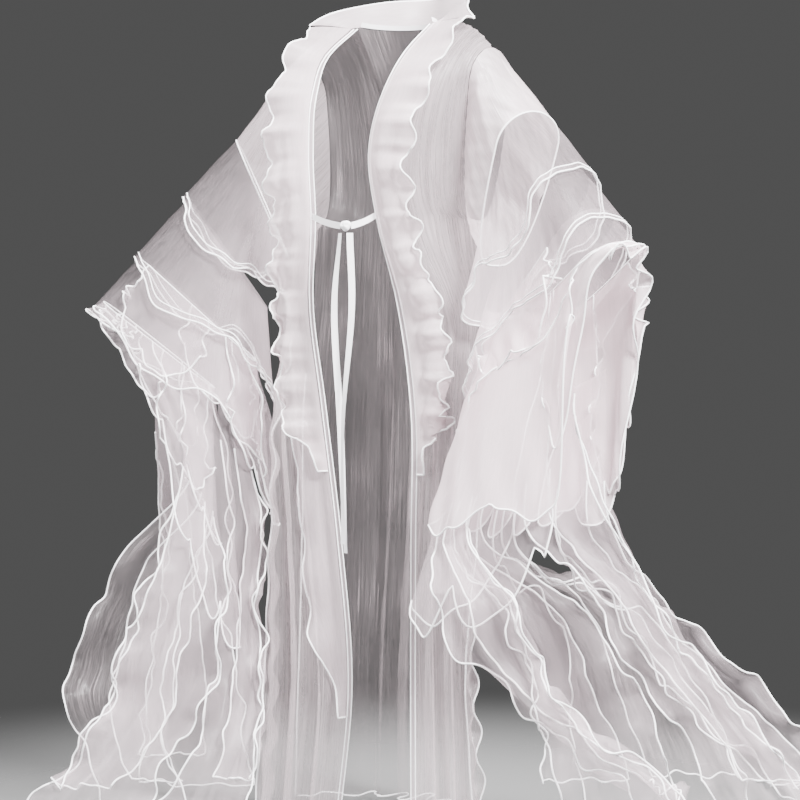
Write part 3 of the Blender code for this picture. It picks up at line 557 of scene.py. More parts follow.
# ---------------------------------------------------------------- streamers
STREAMERS = {
    # name: side, flounce it hangs in, counted from 0, first and last turn on the loop, and its sections
    # by depth: centre, width, and heading of the width in degrees from +X
    "train_right": ("right", 3, 0.52, 0.62, Table("down x y width heading", (
        (0.860, -0.404, -0.112, 0.136, 18),
        (0.962, -0.425, -0.139, 0.158, 20),
        (1.074, -0.434, -0.158, 0.164, 21),
        (1.169, -0.414, -0.156, 0.138, 27),
        (1.244, -0.385, -0.136, 0.164, 28)))),
    "streamer_1_right": ("right", 3, 0.36, 0.50, Table("down x y width heading", (
        (0.859, -0.264, -0.178, 0.126, 16),
        (0.945, -0.270, -0.215, 0.147, 15),
        (1.060, -0.288, -0.238, 0.169, 14),
        (1.151, -0.324, -0.288, 0.172, 15),
        (1.217, -0.354, -0.327, 0.191, 13)))),
    "streamer_2_right": ("right", 2, 0.35, 0.45, Table("down x y width heading", (
        (0.777, -0.218, -0.102, 0.055, 14),
        (0.900, -0.217, -0.122, 0.055, 14),
        (1.048, -0.196, -0.158, 0.082, 13),
        (1.133, -0.179, -0.205, 0.107, 19),
        (1.207, -0.192, -0.235, 0.151, 24)))),
    "streamer_3_right": ("right", 3, 0.66, 0.74, Table("down x y width heading", (
        (0.760, -0.423, -0.015, 0.071, 19),
        (0.894, -0.419, -0.001, 0.095, 23),
        (1.095, -0.419, 0.018, 0.155, 24),
        (1.240, -0.434, 0.038, 0.220, 25)))),
    "streamer_1_left": ("left", 3, 0.36, 0.47, Table("down x y width heading", (
        (0.849, 0.333, -0.286, 0.112, 19),
        (0.919, 0.352, -0.266, 0.117, 15),
        (0.988, 0.404, -0.242, 0.085, 7),
        (1.056, 0.481, -0.201, 0.088, 8),
        (1.139, 0.590, -0.143, 0.104, 6)))),
    "streamer_2_left": ("left", 3, 0.52, 0.59, Table("down x y width heading", (
        (0.874, 0.365, -0.147, 0.115, 25),
        (1.006, 0.410, -0.097, 0.145, 23),
        (1.170, 0.444, -0.055, 0.189, 23)))),
    "streamer_3_left": ("left", 3, 0.14, 0.25, Table("down x y width heading", (
        (0.846, 0.520, -0.185, 0.084, 21),
        (0.928, 0.567, -0.164, 0.102, 24),
        (1.009, 0.628, -0.134, 0.121, 25),
        (1.133, 0.708, -0.097, 0.144, 23)))),
    "streamer_4_left": ("left", 3, 0.73, 0.82, Table("down x y width heading", (
        (0.902, 0.445, 0.037, 0.099, 17),
        (0.991, 0.504, 0.085, 0.131, 17),
        (1.080, 0.582, 0.139, 0.142, 19),
        (1.185, 0.678, 0.200, 0.147, 15)))),
    "train_left": ("left", 3, 0.62, 0.66, Table("down x y width heading", (
        (0.943, 0.330, 0.100, 0.150, 41),
        (1.087, 0.350, 0.175, 0.210, 40),
        (1.221, 0.362, 0.235, 0.270, 37)))),
}


def streamer_points(name, count, columns):
    """Grid of a streamer: held rows inside its flounce, then its sections, read smoothly down its length."""
    side, tier, first, last, table = STREAMERS[name]
    share = np.linspace(0.0, 1.0, columns)
    turns = first + (last - first) * share
    held = [tier_points(side, tier, turns, (at,), -inset, 0.0)[0] for at, inset in STREAMER_HOLD]
    angle = math.radians(table.rows[0][4])
    if np.dot(held[1][-1] - held[1][0], (math.cos(angle), math.sin(angle), 0.0)) < 0.0:
        held = [row[::-1] for row in held]
    sections = list(held)
    for down, x, y, width, heading in table.rows:
        way = np.array((math.cos(math.radians(heading)), math.sin(math.radians(heading)), 0.0))
        sections.append(np.array((x, y, -down)) + np.outer((share - 0.5) * width, way))
    sections = np.array(sections)
    run = np.concatenate(([0.0], np.cumsum(np.linalg.norm(np.diff(sections.mean(axis=1), axis=0), axis=1))))
    keys = np.linspace(0.0, run[-1], count)
    grid = np.empty((count, columns, 3))
    for j in range(columns):
        for k in range(3):
            path = Table("run value", np.stack((run, sections[:, j, k]), axis=-1))
            grid[:, j, k] = path.at("value", keys)
    normal = unit(np.cross(np.gradient(grid, axis=1), np.gradient(grid, axis=0)))
    free = smooth((keys / run[-1] - STREAMER_FREE) / 0.3)
    edge = np.abs(share * 2.0 - 1.0) ** 1.5
    ripple = np.cos(2.0 * math.pi * keys / STREAMER_WAVE_LENGTH + first * 9.0)
    belly = 0.5 * np.cos(math.pi * keys / run[-1] * 2.2 + tier)
    lift = STREAMER_WAVE * free[:, None] * (ripple[:, None] * edge * np.sign(share - 0.5) + belly[:, None])
    return grid + normal * lift[:, :, None]


# ---------------------------------------------------------------- materials
SMOOTH_WHITE = (0.970, 0.820, 0.870)
DENSE_WHITE = (0.970, 0.830, 0.865)
CRINKLE_WHITE = (0.965, 0.830, 0.865)
ORGANZA_NAMES = "colour roughness opacity streaks bump width length"
ORGANZA = {
    # colour, roughness, mean opacity, its change over the crinkle, crinkle bump, crinkle width and length;
    # smooth cloth has no bump
    "organza_smooth": (SMOOTH_WHITE, 0.40, 0.36, 0.14, 0.00, 0.0035, 0.060),
    "organza_sleeve": (SMOOTH_WHITE, 0.36, 0.18, 0.12, 0.00, 0.0035, 0.060),
    # the left sleeve's rings are denser than the right's: painted light, brighter on the lit side
    "organza_ring_right": (SMOOTH_WHITE, 0.36, 0.05, 0.12, 0.00, 0.0035, 0.060),
    "organza_ring_left": (SMOOTH_WHITE, 0.36, 0.12, 0.12, 0.00, 0.0035, 0.060),
    "organza_streamer": (SMOOTH_WHITE, 0.36, 0.18, 0.12, 0.00, 0.0035, 0.060),
    "organza_dense": (DENSE_WHITE, 0.40, 0.60, 0.14, 0.00, 0.0035, 0.060),
    "organza_crinkle": (CRINKLE_WHITE, 0.18, 0.10, 0.22, 1.00, 0.0020, 0.140),
    "organza_front": (CRINKLE_WHITE, 0.18, 0.33, 0.38, 1.00, 0.0020, 0.140),
    # brighter, denser copy of the crinkled front cloth for the left upper sleeve: painted light on the side
    # the key lamp faces
    "organza_shoulder_painted_lit": (CRINKLE_WHITE, 0.22, 0.60, 0.30, 0.80, 0.0020, 0.140),
}
GATHER = {"organza_ring_right": 0.36, "organza_ring_left": 0.42}    # opacity added at the bottom of a ring
CRINKLE_DETAIL = 3.0
CRINKLE_BEND = 0.4            # distortion of the crinkle's lines
CLOUD_SCALE = (9.0, 6.0, 1.0)    # clouds per metre across and down
CLOUDS = 0.16                 # change of opacity from cloud to cloud
WEAVE_SCALE = (420.0, 60.0, 1.0)    # threads per metre across and down
THREADS = 0.10                # change of opacity over the weave
PAINTED_GLINT_STRENGTH = 9.0                  # strength of the crinkle's painted glimmer: opacity raised in patches that show as bright glints
PAINTED_GLINT_RIDGE = 0.52            # the painted glimmer goes where the crinkle is higher than this
PAINTED_GLINT_PATCH = 0.50            # and the clouds are denser than this
CRINKLE_HEIGHT = 0.0016
SHEEN = 0.30
SHEEN_ROUGHNESS = 0.35
SMOOTH_SHINE = 0.6            # specular level of smooth cloth
CRINKLED_SHINE = 1.0          # and of crinkled cloth
SCATTERED_THROUGH = 0.38      # share of what the cloth catches that comes out on its far side
STITCH_BUMP = 0.35
STITCH_HEIGHT = 0.0006


def node(tree, kind, **values):
    made = tree.nodes.new(kind)
    for name, value in values.items():
        setattr(made, name, value)
    return made


def feed(tree, target, value):
    """Set a node's input to a number or a colour, or link it to another node's output."""
    if isinstance(value, bpy.types.NodeSocket):
        tree.links.new(value, target)
    else:
        target.default_value = value


def calculate(tree, operation, *values, clamped=False):
    """Math node over numbers and outputs."""
    made = node(tree, "ShaderNodeMath", operation=operation, use_clamp=clamped)
    for target, value in zip(made.inputs, values):
        feed(tree, target, value)
    return made.outputs["Value"]


def noise(tree, where, scale, detail, bend=0.0):
    """Noise over the cloth, with its scale in cells per metre."""
    stretched = node(tree, "ShaderNodeMapping")
    feed(tree, stretched.inputs["Vector"], where)
    feed(tree, stretched.inputs["Scale"], scale)
    made = node(tree, "ShaderNodeTexNoise")
    feed(tree, made.inputs["Vector"], stretched.outputs["Vector"])
    feed(tree, made.inputs["Scale"], 1.0)
    feed(tree, made.inputs["Detail"], detail)
    feed(tree, made.inputs["Distortion"], bend)
    return made.outputs["Fac"]


def mixed(tree, share, first, second):
    made = node(tree, "ShaderNodeMixShader")
    for target, value in zip(made.inputs, (share, first, second)):
        feed(tree, target, value)
    return made.outputs["Shader"]


def bumped(tree, height, strength, distance):
    made = node(tree, "ShaderNodeBump")
    feed(tree, made.inputs["Strength"], strength)
    feed(tree, made.inputs["Distance"], distance)
    feed(tree, made.inputs["Height"], height)
    return made.outputs["Normal"]


def painted_glints(tree, crinkle, cloud, opacity):
    """Painted glimmer: raise the opacity on the crinkle's ridges, in the denser clouds, so that these fixed
    patches show as bright glints.
    """
    ridge = calculate(tree, "SUBTRACT", crinkle, PAINTED_GLINT_RIDGE, clamped=True)
    patch = calculate(tree, "SUBTRACT", cloud, PAINTED_GLINT_PATCH, clamped=True)
    both = calculate(tree, "MULTIPLY", ridge, patch)
    return calculate(tree, "MULTIPLY_ADD", both, PAINTED_GLINT_STRENGTH, opacity)


def opacity_of(tree, slot, sizes, crinkle):
    """Opacity of the cloth: denser on the crinkle's ridges, in soft clouds, on threads and in gathers, with
    patches of painted glimmer on crinkled cloth.
    """
    where = node(tree, "ShaderNodeUVMap", uv_map="cloth").outputs["UV"]
    cloud = noise(tree, where, CLOUD_SCALE, 2.0)
    weave = noise(tree, where, WEAVE_SCALE, 1.0)
    base = sizes["opacity"] - 0.5 * (sizes["streaks"] + CLOUDS + THREADS)
    opacity = calculate(tree, "MULTIPLY_ADD", crinkle, sizes["streaks"], base)
    opacity = calculate(tree, "MULTIPLY_ADD", cloud, CLOUDS, opacity)
    # crinkled cloth gets painted glimmer: fixed denser patches that stand in for glints of light
    if sizes["bump"] > 0.0:
        opacity = painted_glints(tree, crinkle, cloud, opacity)
    if slot in GATHER:
        mark = node(tree, "ShaderNodeAttribute", attribute_name="gather").outputs["Fac"]
        opacity = calculate(tree, "MULTIPLY_ADD", mark, GATHER[slot], opacity)
    return calculate(tree, "MULTIPLY_ADD", weave, THREADS, opacity, clamped=True)


def organza(slot):
    """Sheer organza: light partly goes straight through, partly scatters through and partly reflects."""
    sizes = dict(zip(ORGANZA_NAMES.split(), ORGANZA[slot]))
    colour = (*sizes["colour"], 1.0)
    made = bpy.data.materials.new(slot)
    made.use_nodes = True
    tree = made.node_tree
    tree.nodes.clear()
    out = node(tree, "ShaderNodeOutputMaterial")
    where = node(tree, "ShaderNodeUVMap", uv_map="cloth").outputs["UV"]
    crinkle_scale = (1.0 / sizes["width"], 1.0 / sizes["length"], 1.0)
    crinkle = noise(tree, where, crinkle_scale, CRINKLE_DETAIL, CRINKLE_BEND)
    surface = node(tree, "ShaderNodeBsdfPrincipled")
    looks = {
        "Base Color": colour, "Roughness": sizes["roughness"], "Specular IOR Level": SMOOTH_SHINE,
        "Sheen Weight": SHEEN, "Sheen Roughness": SHEEN_ROUGHNESS, "Sheen Tint": colour,
    }
    if sizes["bump"] > 0.0:
        looks["Normal"] = bumped(tree, crinkle, sizes["bump"], CRINKLE_HEIGHT)
        looks["Specular IOR Level"] = CRINKLED_SHINE
    for name, value in looks.items():
        feed(tree, surface.inputs[name], value)
    glow = node(tree, "ShaderNodeBsdfTranslucent")
    feed(tree, glow.inputs["Color"], colour)
    straight = node(tree, "ShaderNodeBsdfTransparent").outputs["BSDF"]
    cloth = mixed(tree, SCATTERED_THROUGH, surface.outputs["BSDF"], glow.outputs["BSDF"])
    sheer = mixed(tree, opacity_of(tree, slot, sizes, crinkle), straight, cloth)
    feed(tree, out.inputs["Surface"], sheer)
    return made


def ribbon_material(name, colour, roughness, ribbed):
    """Dense white cloth: the rolled hems' close stitches, or the ribbon's fine ribs."""
    made = bpy.data.materials.new(name)
    made.use_nodes = True
    tree = made.node_tree
    surface = tree.nodes["Principled BSDF"]
    feed(tree, surface.inputs["Base Color"], (*colour, 1.0))
    feed(tree, surface.inputs["Roughness"], roughness)
    feed(tree, surface.inputs["Sheen Weight"], SHEEN)
    where = node(tree, "ShaderNodeTexCoord").outputs["Object"]
    stitches = noise(tree, where, (ribbed, ribbed, ribbed), 2.0)
    feed(tree, surface.inputs["Normal"], bumped(tree, stitches, STITCH_BUMP, STITCH_HEIGHT))
    return made


MATERIALS = {slot: organza(slot) for slot in ORGANZA}
MATERIALS["hem"] = ribbon_material("rolled_hem", (0.97, 0.965, 0.98), 0.45, 900.0)
MATERIALS["ribbon"] = ribbon_material("ribbon", (0.92, 0.91, 0.93), 0.38, 600.0)


# ---------------------------------------------------------------- pieces
HEM = 0.0014                  # radius of a rolled hem
SEAM = 0.0010                 # radius of a narrow seam
FINE = 1.0


def count(n):
    return max(6, int(n * FINE))


def shares_of(n):
    return np.linspace(0.0, 1.0, count(n))


def place(made, nodes):
    """Let a piece ride on the frame's body, in place of the nodes that it stands for."""
    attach(made, "root")
    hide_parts(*nodes)
    return made


def lengths(points, axis):
    """Mean distances between neighbouring lines of a grid, summed from its first line."""
    steps = np.linalg.norm(np.diff(points, axis=axis), axis=2)
    return np.concatenate(([0.0], np.cumsum(steps.mean(axis=1 - axis))))


def sheet_mesh(name, points, material_name, nodes, closed=False):
    """A thin open sheet through a grid of points, with its own lengths as texture coordinates in metres."""
    rows, columns = points.shape[:2]
    around = np.concatenate((points, points[:, :1]), axis=1) if closed else points
    across = lengths(around, 1)
    along = lengths(around, 0)
    faces = []
    texture = []
    for i in range(rows - 1):
        for j in range(columns if closed else columns - 1):
            k = (j + 1) % columns
            faces.append((i * columns + j, i * columns + k, (i + 1) * columns + k, (i + 1) * columns + j))
            texture.extend((across[j], along[i], across[j + 1], along[i]))
            texture.extend((across[j + 1], along[i + 1], across[j], along[i + 1]))
    mesh = bpy.data.meshes.new(name)
    mesh.from_pydata(points.reshape(-1, 3).tolist(), [], faces)
    mesh.uv_layers.new(name="cloth")
    mesh.uv_layers["cloth"].data.foreach_set("uv", texture)
    mesh.polygons.foreach_set("use_smooth", [True] * len(faces))
    mesh.materials.append(MATERIALS[material_name])
    made = bpy.data.objects.new(name, mesh)
    bpy.context.scene.collection.objects.link(made)
    return place(made, nodes)


def sewn_sheet(name, points, material_name, slot, nodes, hems=(), closed=False):
    """A sheet of cloth with its hems or seams: rows of name ending, line, closed or not, and radius."""
    made = sheet_mesh(name, points, material_name, nodes, closed)
    trims = [hem(name + ending, line, slot, nodes, joined, radius) for ending, line, joined, radius in hems]
    return made


def hem(name, line, slot, nodes, closed, radius):
    """A narrow rolled hem along a free edge."""
    curve = bpy.data.curves.new(name, "CURVE")
    curve.dimensions = "3D"
    curve.bevel_depth = radius
    curve.bevel_resolution = 1
    curve.use_fill_caps = not closed
    spline = curve.splines.new("POLY")
    spline.points.add(len(line) - 1)
    spline.points.foreach_set("co", np.column_stack((line, np.ones(len(line)))).ravel())
    spline.use_cyclic_u = closed
    curve.materials.append(MATERIALS["hem"])
    made = bpy.data.objects.new(name, curve)
    bpy.context.scene.collection.objects.link(made)
    return place(made, nodes)


def normals_of(points, closed=False):
    """Normals of a grid, at each of its points."""
    if closed:
        wide = np.concatenate((points[:, -1:], points, points[:, :1]), axis=1)
        across = (wide[:, 2:] - wide[:, :-2]) * 0.5
    else:
        across = np.gradient(points, axis=1)
    return unit(np.cross(across, np.gradient(points, axis=0)))


TROUGH_DEPTH = 0.35           # the troughs beside a fold, as a share of its depth
TROUGH_PLACE = 2.1            # their distance from it, in its widths
FOLD_START = 0.35             # share of a fold's length over which it rises
FOLD_END = 0.08               # share of the grid over which it dies away


def creases(points, folds, closed=False):
    """Push soft troughs and ridges into a grid.

    Each fold is a line from (u0, v0) to (u1, v1) over the grid, u across and v down, both 0 to 1, with a
    width in u and a depth in metres: positive is a ridge on the side the normals point to.
    """
    rows, columns = points.shape[:2]
    u = np.linspace(0.0, 1.0, columns, endpoint=not closed)[None, :]
    v = np.linspace(0.0, 1.0, rows)[:, None]
    lift = np.zeros((rows, columns))
    for u0, v0, u1, v1, width, depth in folds:
        f = np.clip((v - v0) / (v1 - v0), 0.0, 1.0)
        centre = u0 + (u1 - u0) * f
        gap = u - centre
        if closed:
            gap = (gap + 0.5) % 1.0 - 0.5
        beside = (np.abs(gap) - TROUGH_PLACE * width) / width
        shape = np.exp(-(gap / width) ** 2) - TROUGH_DEPTH * np.exp(-beside ** 2)
        ends = smooth((v - v0) / (FOLD_START * (v1 - v0))) * (1.0 - smooth((v - v1) / FOLD_END))
        lift += depth * shape * ends
    return points + normals_of(points, closed) * lift[:, :, None]


def ripples(points, sizes, seed, closed=False):
    """Fine uneven ripples: rows of (waves across, waves down, height), each with seeded phases.

    A closed grid takes whole waves across.
    """
    rng = np.random.default_rng(seed)
    rows, columns = points.shape[:2]
    u = np.linspace(0.0, 1.0, columns, endpoint=not closed)[None, :]
    v = np.linspace(0.0, 1.0, rows)[:, None]
    lift = np.zeros((rows, columns))
    for across, down, height in sizes:
        p, q, r = rng.uniform(0.0, 2.0 * math.pi, 3)
        bend = 0.7 * np.sin(2.0 * math.pi * (down * 0.6 * v + (1.0 if closed else 0.8) * u) + q)
        turn = 2.0 * math.pi * across * u + bend + p + 2.0 * math.pi * down * v
        swell = 0.6 + 0.4 * np.sin(2.0 * math.pi * 1.7 * v + r)
        lift += height * np.sin(turn) * swell
    return points + normals_of(points, closed) * lift[:, :, None]


# ---------------------------------------------------------------- body
BODY_ROWS = 240
FRONT_FINE_COLUMNS = 64
BACK_FINE_COLUMNS = 130
FREE_EDGE = {"front": 0.42, "back": 0.46}    # the panels are hemmed below this share of their rows
SEEDS = {"front_right": 11, "front_left": 12, "back": 21, "sleeve": 31, "collar_right": 5, "collar_left": 6}

# waves across, waves down and height of the ripples, from large to small
FRONT_RIPPLES = ((9, 5, 0.0009), (17, 11, 0.0006), (31, 14, 0.0004))
BACK_RIPPLES = ((19, 5, 0.0009), (37, 9, 0.0006), (61, 13, 0.0004))
SLEEVE_RIPPLES = ((14, 2, 0.0008), (29, 4, 0.0005))

# creases of the body: u0 v0 u1 v1 width depth
FRONT_CREASES = {
    "right": (
        (0.30, 0.36, 0.36, 1.00, 0.040, 0.006), (0.55, 0.30, 0.48, 1.00, 0.034, -0.007),
        (0.72, 0.42, 0.70, 1.00, 0.030, 0.006), (0.16, 0.50, 0.20, 1.00, 0.028, 0.004),
        (0.86, 0.55, 0.90, 0.98, 0.030, -0.005), (0.42, 0.62, 0.30, 0.92, 0.030, -0.005),
        (0.62, 0.10, 0.40, 0.28, 0.050, 0.004), (0.80, 0.14, 0.60, 0.30, 0.045, -0.004)),
    "left": (
        (0.28, 0.34, 0.33, 1.00, 0.040, 0.005), (0.52, 0.32, 0.50, 1.00, 0.036, -0.006),
        (0.74, 0.40, 0.70, 1.00, 0.034, 0.005), (0.88, 0.50, 0.86, 1.00, 0.030, -0.004),
        (0.66, 0.08, 0.44, 0.26, 0.050, 0.004), (0.82, 0.16, 0.64, 0.30, 0.045, -0.004)),
}
BACK_CREASES = (
    (0.12, 0.34, 0.08, 1.00, 0.018, 0.009), (0.22, 0.40, 0.20, 1.00, 0.016, -0.008),
    (0.31, 0.30, 0.30, 1.00, 0.017, 0.010), (0.43, 0.36, 0.44, 1.00, 0.015, -0.009),
    (0.52, 0.28, 0.50, 1.00, 0.018, 0.010), (0.62, 0.38, 0.65, 1.00, 0.016, -0.008),
    (0.73, 0.32, 0.74, 1.00, 0.017, 0.009), (0.86, 0.36, 0.90, 1.00, 0.018, -0.008),
    (0.25, 0.06, 0.36, 0.26, 0.030, 0.004), (0.75, 0.06, 0.62, 0.27, 0.030, 0.004))

EDGE_WAVES = 15.0             # waves down a front's side edge
EDGE_WAVE = 0.0075            # and their height
EDGE_REACH = 0.30             # share of the panel's width over which they fade
EDGE_START = 0.38             # share of its length above which there are none


def side_edge_waves(points):
    """Ruffle the free side edge of a front, at its last column."""
    rows, columns = points.shape[:2]
    v = np.linspace(0.0, 1.0, rows)[:, None]
    u = np.linspace(0.0, 1.0, columns)[None, :]
    near = smooth(1.0 - (1.0 - u) / EDGE_REACH)
    turn = 2.0 * math.pi * EDGE_WAVES * v + 1.1 * np.sin(2.0 * math.pi * 2.3 * v)
    lift = EDGE_WAVE * near**1.3 * np.sin(turn) * smooth((v - EDGE_START) / 0.1)
    return points + normals_of(points) * lift[:, :, None]


def add_body():
    for side in ("right", "left"):
        name = "front_" + side
        grid = front_points(side, shares_of(BODY_ROWS), shares_of(FRONT_FINE_COLUMNS))
        grid = creases(grid, FRONT_CREASES[side])
        grid = side_edge_waves(grid)
        grid = ripples(grid, FRONT_RIPPLES, SEEDS[name])
        edge = int(len(grid) * FREE_EDGE["front"])
        line = np.concatenate((grid[edge:, -1], grid[-1, ::-1]))
        sewn_sheet(name + "_cloth", grid, "organza_front", "organza_crinkle", (name,),
                   (("_hem", line, False, HEM),))
    grid = back_points(shares_of(BODY_ROWS), shares_of(BACK_FINE_COLUMNS))
    grid = creases(grid, BACK_CREASES)
    grid = ripples(grid, BACK_RIPPLES, SEEDS["back"])
    edge = int(len(grid) * FREE_EDGE["back"])
    line = np.concatenate((grid[edge:, 0], grid[-1], grid[edge:, -1][::-1]))
    sewn_sheet("back_panel_cloth", grid, "organza_crinkle", "organza_crinkle", ("back_panel",),
               (("_hem", line, False, HEM),))


# ---------------------------------------------------------------- sleeves
LOOP_FINE_COLUMNS = 200
SLEEVE_FINE_ROWS = 56
UPPER_ENDS = (0.0012, 0.1655)    # first and last loop of an upper sleeve, along the arm
RING_TIERS = 3                # flounces made in one ring; the last one is cut in petals
DOUBLE_HEMS = (0, 1)          # flounces whose hem is turned up and stitched a second time
# the left upper sleeve takes the brighter copy of the front's cloth: painted light on the lit side
UPPER_CLOTH = {"right": "organza_front", "left": "organza_shoulder_painted_lit"}

# creases of the upper sleeves, u round the loop from its top towards the front
SLEEVE_CREASES = (
    (0.10, 0.05, 0.16, 0.95, 0.020, 0.003), (0.22, 0.00, 0.28, 0.90, 0.022, -0.004),
    (0.34, 0.10, 0.36, 1.00, 0.020, 0.004), (0.62, 0.00, 0.66, 0.90, 0.022, 0.004),
    (0.76, 0.10, 0.72, 1.00, 0.020, -0.004), (0.90, 0.05, 0.86, 0.90, 0.020, 0.003))


def mark_gather(made, rows, turns):
    """Mark a ring's points by how far down the sleeve's loop they are, 0 at its top to 1 at its bottom."""
    share = 0.5 - 0.5 * np.cos(2.0 * math.pi * turns)
    made.data.attributes.new("gather", "FLOAT", "POINT").data.foreach_set("value", np.tile(share, rows))


def add_upper_sleeve(side, turns):
    stations = np.linspace(*UPPER_ENDS, count(SLEEVE_FINE_ROWS))
    grid = np.array([sleeve_loop(SLEEVES[side], station, turns, 0.0) for station in stations])
    grid = creases(grid, SLEEVE_CREASES, closed=True)
    grid = ripples(grid, SLEEVE_RIPPLES, SEEDS["sleeve"], closed=True)
    name = "sleeve_upper_" + side
    sewn_sheet(name + "_cloth", grid, UPPER_CLOTH[side], "organza_crinkle", (name,), closed=True)


def add_ring(name, side, index, turns):
    """A flounce in one ring, with the seam or the second row of stitches that shows on it."""
    grid = flounce_detail(tier_points(side, index, turns, shares_of(SLEEVE_FINE_ROWS)), side, index)
    lines = [("_hem", grid[-1], True, HEM)]
    if index == 0:
        lines.append(("_seam", grid[0], True, HEM))
    if index in DOUBLE_HEMS:
        lines.append(("_stitching", grid[-1 - len(grid) // 14], True, SEAM))
    made = sewn_sheet(name + "_cloth", grid, "organza_ring_" + side, "organza_smooth", (name,),
                      lines, closed=True)
    mark_gather(made, len(grid), turns)


def add_sleeves():
    turns = np.arange(count(LOOP_FINE_COLUMNS)) / count(LOOP_FINE_COLUMNS)
    for side in ("right", "left"):
        add_upper_sleeve(side, turns)
        for index in range(len(TIERS[side])):
            name = f"flounce_{index + 1}_{side}"
            if index < RING_TIERS:
                add_ring(name, side, index, turns)
            kept = PETAL_WAVES.get(name, PETAL_WAVES["elsewhere"])
            calm = tier_points(side, index, turns, shares_of(SLEEVE_FINE_ROWS), 0.0, kept)
            for number, petal in enumerate(PETALS.get(name, ())):
                add_petal(f"{name}_petal_{number + 1}", calm, petal, name)


# Petals of the flounces, round the loop from its top towards the front: the last flounce of each sleeve is
# made of them, and the one before it has a few more laid over it.
PETAL_NAMES = "first last lift reach corner lobes ruffle"
PETALS = {
    "flounce_3_right": (
        (0.08, 0.30, 0.0040, 1.02, 0.50, 2, 0.006), (0.24, 0.50, 0.0080, 1.06, 0.44, 2, 0.006),
        (0.36, 0.63, 0.0040, 1.52, 0.70, 3, 0.009), (0.44, 0.58, 0.0020, 1.75, 0.85, 2, 0.006)),
    "flounce_4_right": (
        (0.84, 1.14, 0.0000, 1.00, 0.42, 3, 0.007), (0.05, 0.28, 0.0050, 1.12, 0.60, 2, 0.009),
        (0.20, 0.46, 0.0100, 1.16, 0.62, 3, 0.009), (0.36, 0.66, 0.0050, 1.30, 0.66, 3, 0.009),
        (0.60, 0.90, 0.0000, 1.08, 0.50, 3, 0.008), (0.24, 0.54, 0.0030, 2.30, 0.78, 3, 0.008)),
    "flounce_3_left": (
        (0.16, 0.40, 0.0040, 1.02, 0.52, 2, 0.006),),
    "flounce_4_left": (
        (0.70, 1.03, 0.0000, 1.14, 0.92, 6, 0.013), (0.95, 1.21, 0.0050, 1.02, 0.66, 1, 0.005),
        (0.11, 0.51, 0.0110, 1.10, 0.84, 2, 0.006), (0.20, 0.64, -0.0040, 1.62, 0.84, 3, 0.008),
        (0.50, 0.78, 0.0050, 1.10, 0.80, 4, 0.010), (0.78, 0.90, 0.0100, 0.98, 0.90, 2, 0.006)),
}
PETAL_WAVES = {"flounce_4_left": 0.0, "elsewhere": 0.35}    # share of a flounce's waves that its petals keep
# what a few petals do besides: flutter of their side edges, its waves, and drift towards the body at the hem
EXTRAS = {
    "flounce_3_right_petal_3": (0.0045, 3.0, 0.016), "flounce_3_right_petal_4": (0.0060, 3.0, 0.030),
    "flounce_4_right_petal_6": (0.0060, 4.0, 0.036), "flounce_4_left_petal_6": (0.0150, 5.0, 0.000),
}
PLAIN_EXTRAS = (0.0045, 3.0, 0.000)
LOBE_DEPTH = 0.150            # share of a petal's length that the notches between its lobes reach up
LOBE_BEND = 0.05              # the lobes are uneven by this share of a petal's width
LONG_PETAL = 1.3              # a petal that reaches this far is a single thin layer
SIDE_WAVES = 1.5              # waves down a petal's side edges
SIDE_SWING = 0.008            # and how far they swing, as a share of the loop
PETAL_COLUMNS = 70
PETAL_ROWS = 60
SMALL_SCALLOPS = (6.0, 0.014)    # waves along a petal's hem, and their share of its length
SMALL_RIPPLES = (5.0, 0.0022)    # waves over its width, and their height


def read_grid(grid, rows_at, columns_at):
    """Points of a closed grid between its own, rows_at and columns_at in rows and columns."""
    rows, columns = grid.shape[:2]
    low = np.clip(rows_at.astype(int), 0, rows - 2)
    f = (rows_at - low)[..., None]
    left = np.floor(columns_at).astype(int)
    g = (columns_at - left)[..., None]
    near = left % columns
    far = (left + 1) % columns
    above = grid[low, near] * (1.0 - g) + grid[low, far] * g
    below = grid[low + 1, near] * (1.0 - g) + grid[low + 1, far] * g
    return above * (1.0 - f) + below * f


def petal_points(name, grid, sizes):
    """Grid of a petal laid over the grid of its flounce: rounded and lobed at the hem, ruffled all round."""
    rows, columns = grid.shape[:2]
    rng = np.random.default_rng(int(sizes["first"] * 1000))
    u = shares_of(PETAL_COLUMNS)[None, :]
    v = shares_of(PETAL_ROWS)[:, None]
    rounding = sizes["corner"] + (1.0 - sizes["corner"]) * np.sin(math.pi * np.clip(u, 0.02, 0.98)) ** 0.6
    bent = u + LOBE_BEND * np.sin(2.0 * math.pi * (u + rng.uniform()))
    lobe = np.abs(np.sin(math.pi * sizes["lobes"] * bent)) ** 0.8 - 1.0
    scallops, depth = SMALL_SCALLOPS
    small = depth * np.sin(2.0 * math.pi * (scallops * u + rng.uniform()))
    share = v * sizes["reach"] * (rounding + (LOBE_DEPTH * lobe + small) * v**3)
    side = np.sign(u - 0.5) * np.abs(2.0 * u - 1.0) ** 5
    swing = np.sin(2.0 * math.pi * (SIDE_WAVES * v + rng.uniform())) * smooth(v / 0.3)
    turn = sizes["first"] + (sizes["last"] - sizes["first"]) * u + SIDE_SWING * side * swing
    points = read_grid(grid, share * (rows - 1), turn * columns)
    waves, height = SMALL_RIPPLES
    lift = sizes["lift"] * smooth(v * 4.0)
    lift = lift + sizes["ruffle"] * np.cos(2.0 * math.pi * sizes["lobes"] * bent) * v**3
    ripple = np.sin(2.0 * math.pi * (waves * u + 1.5 * v + rng.uniform()))
    lift = lift + height * ripple * smooth((v - 0.3) / 0.7)
    flutter, waves, drift = EXTRAS.get(name, PLAIN_EXTRAS)
    lift = lift + flutter * side * np.cos(2.0 * math.pi * (waves * v + rng.uniform())) * smooth(v * 2.0)
    points = points + normals_of(points) * lift[:, :, None]
    return points + np.array((drift, 0.0, 0.0)) * smooth(v * 2.5)[:, :, None]


